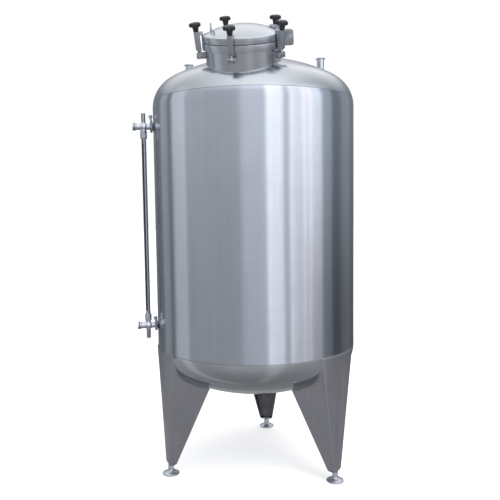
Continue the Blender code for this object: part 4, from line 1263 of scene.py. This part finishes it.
def make_clamps(context):
    size = context.scene.tank_clamps
    finish = finishes(context)
    middle = np.mean([joint["pos_m"] for joint in CLAMPS], axis=0)
    for joint in CLAMPS:
        number = joint["child"].split("_")[-1]
        pivot = np.array(joint["pos_m"])
        lug_place = placing(pivot, pivot - middle, MANWAY[:3, 2])
        place = spun(lug_place, "Y", size.lean)
        lugs, pins = lug_bodies(size, lug_place)
        rows, width = 9, 0.0055
        height = np.linspace(-size.ear + 0.001, size.ear - 0.001, rows)
        for hand in (-1.0, 1.0):
            corner = np.stack([np.full(rows, size.back - 0.0006),
                               np.full(rows, hand * (size.ear_out - 0.0002)), height], -1)
            way_out = np.broadcast_to(lug_place[:3, 0], (rows, 3))
            way_side = np.broadcast_to(lug_place[:3, 1] * hand, (rows, 3))
            lugs.append(weld_body(moved(corner, lug_place), way_out, way_side, width, width))
        make_piece("lug_" + number, lugs, finish["cast"],
                   ("clamp_lug_" + number,))
        make_piece("lug_pin_" + number, pins, finish["fitting"])
        child = joint["child"]
        make_piece("eye_stud_" + number, stud_bodies(size, place), finish["fitting"],
                   ("clamp_stud_" + number,), body=child)
        make_piece("claw_" + number, claw_bodies(size, place), finish["claw"],
                   ("clamp_claw_" + number,), body=child)
        make_piece("star_knob_" + number, knob_bodies(size, place), finish["knob"],
                   ("clamp_knob_" + number,), body=child, sharp=60.0)


# Pipes

def port_places(size):
    """Where the two top ports' faces are, with z upward."""
    places = {}
    for side, azimuth in (("right", -3.0), ("left", 165.0)):
        spot = spun(TANK, "Z", math.radians(azimuth))
        places[side] = shifted(spot, x=size.ring, z=size.port_top)
    return places


def ferrule_profile(size):
    """From the pipe out to the ferrule's cone, its face with a gasket groove, and the bore."""
    neck = -0.0045
    bore = size.pipe - size.wall
    return rounded(
        [(size.pipe, neck - 0.004), (size.pipe, neck - 0.0025, 0.001),
         (size.ferrule, neck, 0.0008), (size.ferrule, -0.0002, 0.0006),
         (0.0232, -0.0002, 0.0003), (0.0226, -0.0016, 0.0004), (0.0206, -0.0016, 0.0004),
         (0.0200, -0.0002, 0.0003), (bore, -0.0002, 0.0006), (bore, -0.006)],
        steps=4,
    )


def port_bodies(size, vessel, place, weld=0.0045):
    bore = size.pipe - size.wall
    tube, base = trimmed_tube(ferrule_profile(size), bore, place, vessel, 56, -0.010)
    return [tube], [base_weld(base, place, vessel, weld)]


def band_bodies(size, place):
    """Two half bands round the ferrules, each with an ear, and the hinge knuckle opposite.

    The place has z along the pipe, outward, and x towards the ears.
    """
    bodies = []
    angle = np.radians(np.linspace(8.0, 176.0, 40))
    inner, outer, half = size.ferrule + 0.0004, 0.0298, 0.0064
    profile = rounded(
        [(inner, -half, 0.0006), (outer, -half, 0.0016), (0.0319, 0.0, 0.004),
         (outer, half, 0.0016), (inner, half, 0.0006)],
        loop=True, steps=4,
    )
    for hand in (-1.0, 1.0):
        points = around(profile[None, :, 0], angle[:, None] * hand, profile[None, :, 1])
        bodies.append(grid_body(moved(points, place)))
    near, bend, far, half = 0.0270, 0.0395, 0.0528, 0.0059
    ear = rounded(
        [(near, -half), (bend, -half), (far, -half, 0.0058), (far, half, 0.0058), (bend, half),
         (near, half)], loop=True,
    )
    for low in (-0.0118, 0.0026):
        bodies.append(slab(ear, low, low + 0.0092, 0.0010, place))
    pin, half = 0.0042, 0.0062
    bodies.append(spindle([(0.0, -half), (pin, -half, 0.0008), (pin, half, 0.0008), (0.0, half)],
                          20, shifted(place, x=-0.0325)))
    return bodies


def wing_bodies(size, place):
    """The leaning bolt through both ears, with a tapered wing nut that ends in a round wing."""
    spot = spun(shifted(place, x=size.band_bolt), "X", size.band_lean - QUARTER)
    bolt = spindle([(0.0, -0.0168), (0.0052, -0.0168, 0.001), (0.0052, -0.0124),
                    (0.0034, -0.0124), (0.0034, 0.0300), (0.0, 0.0300)], 20, spot)
    hub = spindle([(0.0, 0.0124), (0.0069, 0.0124, 0.0008), (0.0066, 0.0200, 0.002),
                   (0.0050, 0.0345, 0.0020), (0.0, 0.0350)], 24, spot)
    half, foot, tip, notch = 0.0104, 0.0346, 0.0554, 0.0016
    wing = rounded(
        [(-half, foot, 0.0100), (-half, tip, 0.0096), (-notch, tip, 0.0016),
         (0.0, 0.0530, 0.0030), (notch, tip, 0.0016), (half, tip, 0.0096), (half, foot, 0.0100)],
        loop=True,
    )
    wings = slab(wing, -0.0021, 0.0021, 0.0012, spun(spot, "Z", math.radians(-75.0)))
    return [bolt, hub, wings]


def tee_bodies(size, place, up):
    """Barrel along the ferrule's line with a capped end, a stub on one side, a spigot opposite.

    The place has z outward and x upward.
    """
    face = size.face + 0.0004
    end = size.end
    bulge, groove = 0.0206, 0.0188
    body = spindle(
        [(0.0, face), (size.ferrule, face, 0.0005), (size.ferrule, face + 0.0043, 0.0008),
         (0.0160, face + 0.0075, 0.002), (0.0166, size.tube - 0.0170, 0.006),
         (bulge, size.tube - 0.0080, 0.006), (bulge, size.tube + 0.0080, 0.006),
         (0.0174, size.tube + 0.0160, 0.006), (0.0174, end - 0.0205, 0.001),
         (bulge, end - 0.0180, 0.0010), (bulge, end - 0.0124, 0.0008),
         (groove, end - 0.0118), (groove, end - 0.0086), (0.0208, end - 0.0080, 0.0008),
         (0.0208, end - 0.0014, 0.0014), (0.0185, end, 0.001), (0.0, end)],
        64, place,
    )
    stub_place = spun(shifted(place, z=size.tube), "Y", QUARTER * up)
    rim, cup = size.stub - 0.0002, size.stub - 0.004
    stub = spindle([(0.0, 0.006), (0.0114, 0.006), (0.0114, rim, 0.0022), (0.0086, rim, 0.0008),
                    (0.0080, cup, 0.0006), (0.0, cup)], 40, stub_place)
    collar = spindle([(0.0, 0.010), (0.0140, 0.010), (0.0132, 0.0215, 0.001),
                      (0.0117, 0.0225, 0.0006), (0.0, 0.0226)], 40, stub_place)
    spigot = spindle([(0.0, 0.006), (0.0149, 0.006), (0.0149, 0.0238, 0.0006), (0.0, 0.0238)],
                     40, spun(stub_place, "X", math.pi))
    return [body, stub, collar, spigot]


def cap_gasket(size, place):
    """The dark ring that shows between the tee's rim and its cap."""
    corners = oblong(0.0170, size.end - 0.0117, 0.0201, size.end - 0.0087,
                     (0.0, 0.0010, 0.0010, 0.0))
    return spindle(corners, 48, place, loop=True, steps=3)


def nut_body(corner, low, high, bore, place, segments=96):
    """Hexagon nut: radius = smaller of a / cos(t from the nearest flat) and the chamfer circle."""
    angle = once_round(segments)
    sixth = math.pi / 3.0
    nearest = np.mod(angle, sixth) - sixth / 2.0
    flat = corner * math.cos(math.pi / 6.0) / np.cos(nearest)
    levels = ((low, 0.93), (low + 0.0012, 0.975), (low + 0.0026, 1.0), (high - 0.0036, 1.0),
              (high - 0.0016, 0.96), (high, 0.88))
    rows = [np.minimum(flat, corner * share) for level, share in levels]
    radius = np.stack(rows + [np.full(segments, bore)] * 2)
    heights = np.array([level for level, share in levels] + [high, low])[:, None]
    return grid_body(moved(around(radius, angle, heights), place), along=True)


def make_ports(context):
    size = context.scene.tank_pipes
    vessel = context.scene.tank_vessel
    finish = finishes(context)
    for side, place in port_places(size).items():
        tubes, welds = port_bodies(size, vessel, place)
        make_piece("port_" + side, tubes, finish["fitting"],
                   ("top_port_" + side,))
        make_piece("port_weld_" + side, welds, finish["weld"])
    place = spun(shifted(TANK, z=size.outlet), "X", math.pi)
    tubes, welds = port_bodies(size, vessel, place)
    make_piece("drain_pipe", tubes, finish["fitting"], ("bottom_outlet",))
    make_piece("drain_weld", welds, finish["weld"])


def make_gauge(context):
    size = context.scene.tank_pipes
    vessel = context.scene.tank_vessel
    finish = finishes(context)
    out = np.array([math.cos(size.azimuth), math.sin(size.azimuth), 0.0])
    for level, height, up in (("upper", size.upper, 1.0), ("lower", size.lower, -1.0)):
        centre = AXIS + np.array([0.0, 0.0, height])
        place = placing(centre, (0.0, 0.0, 1.0), out)
        face_place = shifted(place, z=size.face - 0.0002)
        tubes, welds = port_bodies(size, vessel, face_place, weld=0.0035)
        name = "gauge_" + level
        make_piece(level + "_nozzle", tubes, finish["fitting"],
                   (name + "_nozzle",))
        make_piece(level + "_nozzle_weld", welds, finish["weld"])
        band_place = spun(face_place, "Z", -QUARTER)
        make_piece(level + "_band", band_bodies(size, band_place), finish["cast"],
                   (name + "_clamp",))
        make_piece(level + "_wing_nut", wing_bodies(size, band_place), finish["cast"])
        body, stub, collar, spigot = tee_bodies(size, place, up)
        make_piece(level + "_tee", [body, collar, spigot], finish["tee"],
                   (name + "_tee",))
        make_piece(level + "_stub", [stub], finish["guard"])
        make_piece(level + "_gasket", [cap_gasket(size, place)], finish["rubber"])
        gland_place = spun(shifted(place, z=size.tube), "Y", -QUARTER * up)
        gland_place = spun(gland_place, "Z", math.radians(15.0))
        gland = nut_body(size.nut, 0.0246, 0.0620, size.guard + 0.0003, gland_place)
        make_piece(level + "_gland_nut", [gland], finish["fitting"],
                   (name + "_gland",))
    hidden, wall = 0.0275, 0.0021
    low, high = size.lower + hidden, size.upper - hidden
    post = shifted(spun(TANK, "Z", size.azimuth), x=size.tube)
    guard = sleeve(size.guard - wall, size.guard, low, high, 64, post)
    half, end = 0.005, 0.0048
    slot = rounded(oblong(-half, size.slot_low, half, size.slot_high, (end,) * 4), loop=True,
                   steps=8)
    slot_place = spun(spun(post, "Z", size.slot_turn), "Z", QUARTER)
    cutter = slab(slot, -0.030, -0.0075, 0.0001, slot_place)
    # The guard's darker finish is painted shade.
    make_piece("guard_tube_painted_shade", [guard], finish["guard"], ("gauge_guard",),
               cuts=[cutter])
    # The glass tube, whose near-black finish is painted shade.
    glass = sleeve(0.0076, 0.0098, low, high, 40, post)
    make_piece("glass_tube_painted_shade", [glass], finish["glass"], ("gauge_glass",))


# Stage

IN_DEGREES = 180.0 / math.pi
WALL = (0.196, 0.208, 0.222)
CEILING = (1.0, 1.0, 1.0)

SOFT_BOXES = (
    # centre, half width, edge softness (degrees from the camera's side), light, tint
    (-46.0, 36.0, 9.0, 0.27, (0.98, 0.99, 1.03)),
    (2.0, 14.0, 13.0, 0.50, (0.96, 0.985, 1.06)),
    (23.0, 9.0, 5.0, 1.04, (0.99, 1.0, 1.02)),
    (37.0, 6.0, 5.0, 0.44, (0.98, 1.0, 1.04)),
    (49.0, 9.0, 5.0, 0.86, (0.98, 1.0, 1.03)),
    (61.0, 4.5, 5.0, 0.80, (1.06, 0.985, 1.01)),
    (72.0, 8.5, 5.0, 0.84, (0.98, 1.0, 1.04)),
    (88.0, 9.0, 5.0, 0.25, (0.90, 1.0, 1.12)),
    (126.0, 12.0, 6.0, 0.11, (0.88, 1.0, 1.12)),
    (-92.0, 11.0, 6.0, 0.46, (0.98, 1.0, 1.04)),
    (-120.0, 8.0, 5.0, 0.20, (0.94, 1.0, 1.06)),
)


def box_light(tree, side, box):
    """One soft box: full within its half width, and fading over its softness."""
    centre, half, soft, light, tint = box
    wrap = tree.nodes.new("ShaderNodeMath")
    wrap.operation = "WRAP"
    wire(tree, math_node(tree, "SUBTRACT", side, centre), wrap.inputs[0])
    wrap.inputs[1].default_value = 180.0
    wrap.inputs[2].default_value = -180.0
    fall = tree.nodes.new("ShaderNodeMapRange")
    fall.interpolation_type = "SMOOTHSTEP"
    fall.inputs["From Min"].default_value = half + soft / 2.0
    fall.inputs["From Max"].default_value = half - soft / 2.0
    fall.inputs["To Min"].default_value = 0.0
    fall.inputs["To Max"].default_value = light
    wire(tree, math_node(tree, "ABSOLUTE", wrap.outputs[0]), fall.inputs["Value"])
    return vector_node(tree, "SCALE", tint, fall.outputs["Result"])


def vector_node(tree, operation, first, second, third=None):
    node = tree.nodes.new("ShaderNodeVectorMath")
    node.operation = operation
    sockets = [node.inputs[0], node.inputs["Scale"] if operation == "SCALE" else node.inputs[1]]
    if third is not None:
        sockets.append(node.inputs[2])
    for socket, value in zip(sockets, (first, second, third)):
        if isinstance(value, (tuple, float)):
            socket.default_value = value
        else:
            wire(tree, value, socket)
    return node.outputs["Vector"]


def curve(tree, value, stops):
    """A grey curve of straight runs through its (value, light) stops."""
    low, high = stops[0][0], stops[-1][0]
    node = tree.nodes.new("ShaderNodeValToRGB")
    ramp = node.color_ramp
    while len(ramp.elements) > 1:
        ramp.elements.remove(ramp.elements[-1])
    for number, (spot, light) in enumerate(stops):
        place = (spot - low) / (high - low)
        stop = ramp.elements[0] if number == 0 else ramp.elements.new(place)
        stop.position = place
        stop.color = (light, light, light, 1.0)
    wire(tree, ranged(tree, value, 0.0, 1.0, low, high), node.inputs["Fac"])
    return node.outputs["Color"]


def studio_light(tree):
    """What the steel mirrors: upright soft boxes, a ceiling bright in front, a darker floor."""
    place = tree.nodes.new("ShaderNodeTexCoord")
    way = tree.nodes.new("ShaderNodeSeparateXYZ")
    wire(tree, place.outputs["Generated"], way.inputs[0])
    front = math_node(tree, "MULTIPLY", way.outputs["Y"], -1.0)
    turn = math_node(tree, "ARCTAN2", way.outputs["X"], front)
    side = math_node(tree, "MULTIPLY", turn, IN_DEGREES)
    rise = math_node(tree, "MULTIPLY", math_node(tree, "ARCSINE", way.outputs["Z"]), IN_DEGREES)
    wall = vector_node(tree, "ADD", box_light(tree, side, SOFT_BOXES[0]), WALL)
    for box in SOFT_BOXES[1:]:
        wall = vector_node(tree, "ADD", wall, box_light(tree, side, box))
    upright = curve(tree, rise, (
        (-90.0, 0.0), (-18.5, 0.0), (-15.5, 0.80), (-8.0, 0.86), (0.0, 0.98), (9.0, 1.20),
        (16.0, 1.28), (26.0, 1.12), (32.0, 0.50), (38.0, 0.0), (90.0, 0.0),
    ))
    over = curve(tree, rise, (
        (-90.0, 0.0), (20.0, 0.0), (27.0, 0.40), (34.0, 0.90), (42.0, 1.0), (90.0, 1.0),
    ))
    under = curve(tree, rise, (
        (-90.0, 0.27), (-75.0, 0.29), (-60.0, 0.31), (-50.0, 0.33), (-38.0, 0.38),
        (-23.0, 0.43), (-18.5, 0.44), (-15.5, 0.0), (90.0, 0.0),
    ))
    ahead = curve(tree, front, (
        (-1.0, 0.28), (-0.92, 0.42), (-0.84, 0.80), (-0.70, 1.20), (-0.5, 1.20), (-0.2, 1.02),
        (0.2, 1.08), (0.5, 1.20), (1.0, 1.25),
    ))
    across = curve(tree, way.outputs["X"], (
        (-1.0, 0.50), (-0.80, 0.62), (-0.60, 0.80), (-0.35, 0.95), (-0.10, 1.0), (0.1, 1.02),
        (0.40, 1.06), (0.60, 0.84), (0.80, 0.56), (1.0, 0.42),
    ))
    near = curve(tree, front, (
        (-1.0, 0.80), (-0.3, 0.86), (0.1, 0.80), (0.5, 0.80), (0.85, 0.97), (1.0, 1.0),
    ))
    strips = curve(tree, side, (
        (-180.0, 1.0), (-98.0, 1.0), (-91.0, 1.5), (-81.0, 1.5), (-74.0, 1.0), (9.0, 1.0),
        (18.0, 1.35), (27.0, 1.35), (36.0, 1.0), (180.0, 1.0),
    ))
    dim_side = curve(tree, side, (
        (-180.0, 0.0), (35.0, 0.0), (75.0, 0.9), (105.0, 1.0), (160.0, 0.5), (180.0, 0.0),
    ))
    dim_rise = curve(tree, rise, (
        (-90.0, 0.52), (-15.0, 0.52), (-8.0, 0.44), (0.0, 0.12), (6.0, 0.0), (90.0, 0.0),
    ))
    dim = vector_node(tree, "MULTIPLY", dim_side, dim_rise)
    left = vector_node(tree, "SUBTRACT", (1.0, 1.0, 1.0), dim)
    wall = vector_node(tree, "MULTIPLY", wall, left)
    ceiling = vector_node(tree, "MULTIPLY", vector_node(tree, "MULTIPLY", ahead, across), CEILING)
    light = vector_node(tree, "MULTIPLY", vector_node(tree, "MULTIPLY", under, near), strips)
    light = vector_node(tree, "MULTIPLY_ADD", wall, upright, light)
    return vector_node(tree, "MULTIPLY_ADD", ceiling, over, light)


def make_world(context):
    """The studio that the steel mirrors, behind a plain white backdrop for the camera."""
    world = bpy.data.worlds.new("studio")
    world.use_nodes = True
    tree = world.node_tree
    tree.nodes.clear()
    studio = tree.nodes.new("ShaderNodeBackground")
    wire(tree, studio_light(tree), studio.inputs["Color"])
    paper = tree.nodes.new("ShaderNodeBackground")
    paper.inputs["Color"].default_value = (1.0, 1.0, 1.0, 1.0)
    paper.inputs["Strength"].default_value = 1.05
    path = tree.nodes.new("ShaderNodeLightPath")
    mix = tree.nodes.new("ShaderNodeMixShader")
    wire(tree, path.outputs["Is Camera Ray"], mix.inputs["Fac"])
    wire(tree, studio.outputs[0], mix.inputs[1])
    wire(tree, paper.outputs[0], mix.inputs[2])
    out = tree.nodes.new("ShaderNodeOutputWorld")
    wire(tree, mix.outputs[0], out.inputs["Surface"])
    context.scene.world = world


def make_camera(context):
    """The camera stands in front of the tank, with the given yaw, pitch and roll."""
    size = context.scene.tank_stage
    forward = np.array([math.sin(size.yaw) * math.cos(size.pitch),
                        math.cos(size.yaw) * math.cos(size.pitch), -math.sin(size.pitch)])
    right = np.array([math.cos(size.yaw), -math.sin(size.yaw), 0.0])
    over = np.cross(right, forward)
    turn_right = math.cos(size.roll) * right + math.sin(size.roll) * over
    turn_up = -math.sin(size.roll) * right + math.cos(size.roll) * over
    data = bpy.data.cameras.new("camera")
    data.lens = size.lens
    data.sensor_width = 36.0
    camera = bpy.data.objects.new("camera", data)
    context.scene.collection.objects.link(camera)
    matrix = np.eye(4)
    matrix[:3, 0], matrix[:3, 1], matrix[:3, 2] = turn_right, turn_up, -forward
    matrix[:3, 3] = AXIS + np.array([0.0, -size.distance, size.height])
    camera.matrix_world = Matrix(matrix.tolist())
    context.scene.camera = camera


def make_floor(context):
    """A wide, pale and flat disc under the tank."""
    size = context.scene.tank_stage
    top, under, reach = -0.0005, -0.02, 30.0
    profile = [(radius, top) for radius in (0.0, 1.0, 3.0, 9.0, reach)]
    profile += [(reach, under), (0.0, under)]
    floor = link_mesh("floor", [turned(profile, 96)], 30.0)
    finish, tree = new_finish("pale_floor")
    shader = tree.nodes["Principled BSDF"]
    shader.inputs["Roughness"].default_value = 0.9
    shader.inputs["Specular IOR Level"].default_value = 0.1
    tone = noise(tree, stretched(tree), 1.5)
    pale = tuple(size.floor)
    wire(tree, tinted(tree, tone, toned(pale, 0.99), pale), shader.inputs["Base Color"])
    shader.inputs["Emission Color"].default_value = (1.0, 1.0, 1.0, 1.0)
    shader.inputs["Emission Strength"].default_value = 0.42
    floor.data.materials.append(finish)
    floor.visible_glossy = False


def make_lamps(context):
    """One wide soft lamp overhead and to the right, which the steel doesn't mirror."""
    data = bpy.data.lights.new("soft_lamp", "AREA")
    data.shape = "RECTANGLE"
    data.size = data.size_y = 3.0
    data.energy = 140.0
    lamp = bpy.data.objects.new("soft_lamp", data)
    spot = np.array([2.2, -2.6, 4.6])
    target = np.array([AXIS[0], AXIS[1], 1.3])
    lamp.matrix_world = Matrix(placing(spot, (1.0, 0.0, 0.0), spot - target).tolist())
    lamp.visible_glossy = False
    context.scene.collection.objects.link(lamp)


def make_stage(context):
    make_camera(context)
    make_world(context)
    make_floor(context)
    make_lamps(context)
    context.scene.view_settings.view_transform = "Standard"
    context.scene.view_settings.look = "None"


# Operators

class TANK_OT_stage(bpy.types.Operator):
    """Make the camera, the floor and the light"""

    bl_idname = "tank.stage"
    bl_label = "Stage"

    def execute(self, context):
        make_stage(context)
        return {"FINISHED"}


class TANK_OT_vessel(bpy.types.Operator):
    """Make the shell, both heads and the ground lines at their welds"""

    bl_idname = "tank.vessel"
    bl_label = "Vessel"

    def execute(self, context):
        make_vessel(context)
        return {"FINISHED"}


class TANK_OT_legs(bpy.types.Operator):
    """Make the channel legs, their welds and the feet"""

    bl_idname = "tank.legs"
    bl_label = "Legs"

    def execute(self, context):
        make_legs(context)
        return {"FINISHED"}


class TANK_OT_manway(bpy.types.Operator):
    """Make the neck, ring, seal, lid, handle and hinge"""

    bl_idname = "tank.manway"
    bl_label = "Manway"

    def execute(self, context):
        make_manway(context)
        return {"FINISHED"}


class TANK_OT_clamps(bpy.types.Operator):
    """Make the lugs, studs, claws and star knobs of the five swing clamps"""

    bl_idname = "tank.clamps"
    bl_label = "Clamps"

    def execute(self, context):
        make_clamps(context)
        return {"FINISHED"}


class TANK_OT_ports(bpy.types.Operator):
    """Make the top ports and the outlet"""

    bl_idname = "tank.ports"
    bl_label = "Ports"

    def execute(self, context):
        make_ports(context)
        return {"FINISHED"}


class TANK_OT_gauge(bpy.types.Operator):
    """Make the level gauge with its nozzles, bands and wing nuts"""

    bl_idname = "tank.gauge"
    bl_label = "Gauge"

    def execute(self, context):
        make_gauge(context)
        return {"FINISHED"}


OPERATORS = (
    TANK_OT_stage, TANK_OT_vessel, TANK_OT_legs, TANK_OT_manway, TANK_OT_clamps, TANK_OT_ports,
    TANK_OT_gauge,
)


class TANK_PT_pieces(bpy.types.Panel):
    """Lists the tank's pieces."""

    bl_label = "Storage tank"
    bl_idname = "TANK_PT_pieces"
    bl_space_type = "VIEW_3D"
    bl_region_type = "UI"
    bl_category = "Storage tank"

    def draw(self, context):
        for made in OPERATORS:
            self.layout.operator(made.bl_idname)


def register():
    for name, group in GROUPS.items():
        bpy.utils.register_class(group)
        setattr(bpy.types.Scene, name, bpy.props.PointerProperty(type=group))
    for made in OPERATORS:
        bpy.utils.register_class(made)
    bpy.utils.register_class(TANK_PT_pieces)


def unregister():
    bpy.utils.unregister_class(TANK_PT_pieces)
    for made in reversed(OPERATORS):
        bpy.utils.unregister_class(made)
    for name, group in GROUPS.items():
        delattr(bpy.types.Scene, name)
        bpy.utils.unregister_class(group)


def main():
    register()
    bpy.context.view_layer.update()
    for made in OPERATORS:
        getattr(bpy.ops.tank, made.bl_idname.split(".")[1])()


if __name__ == "__main__":
    main()
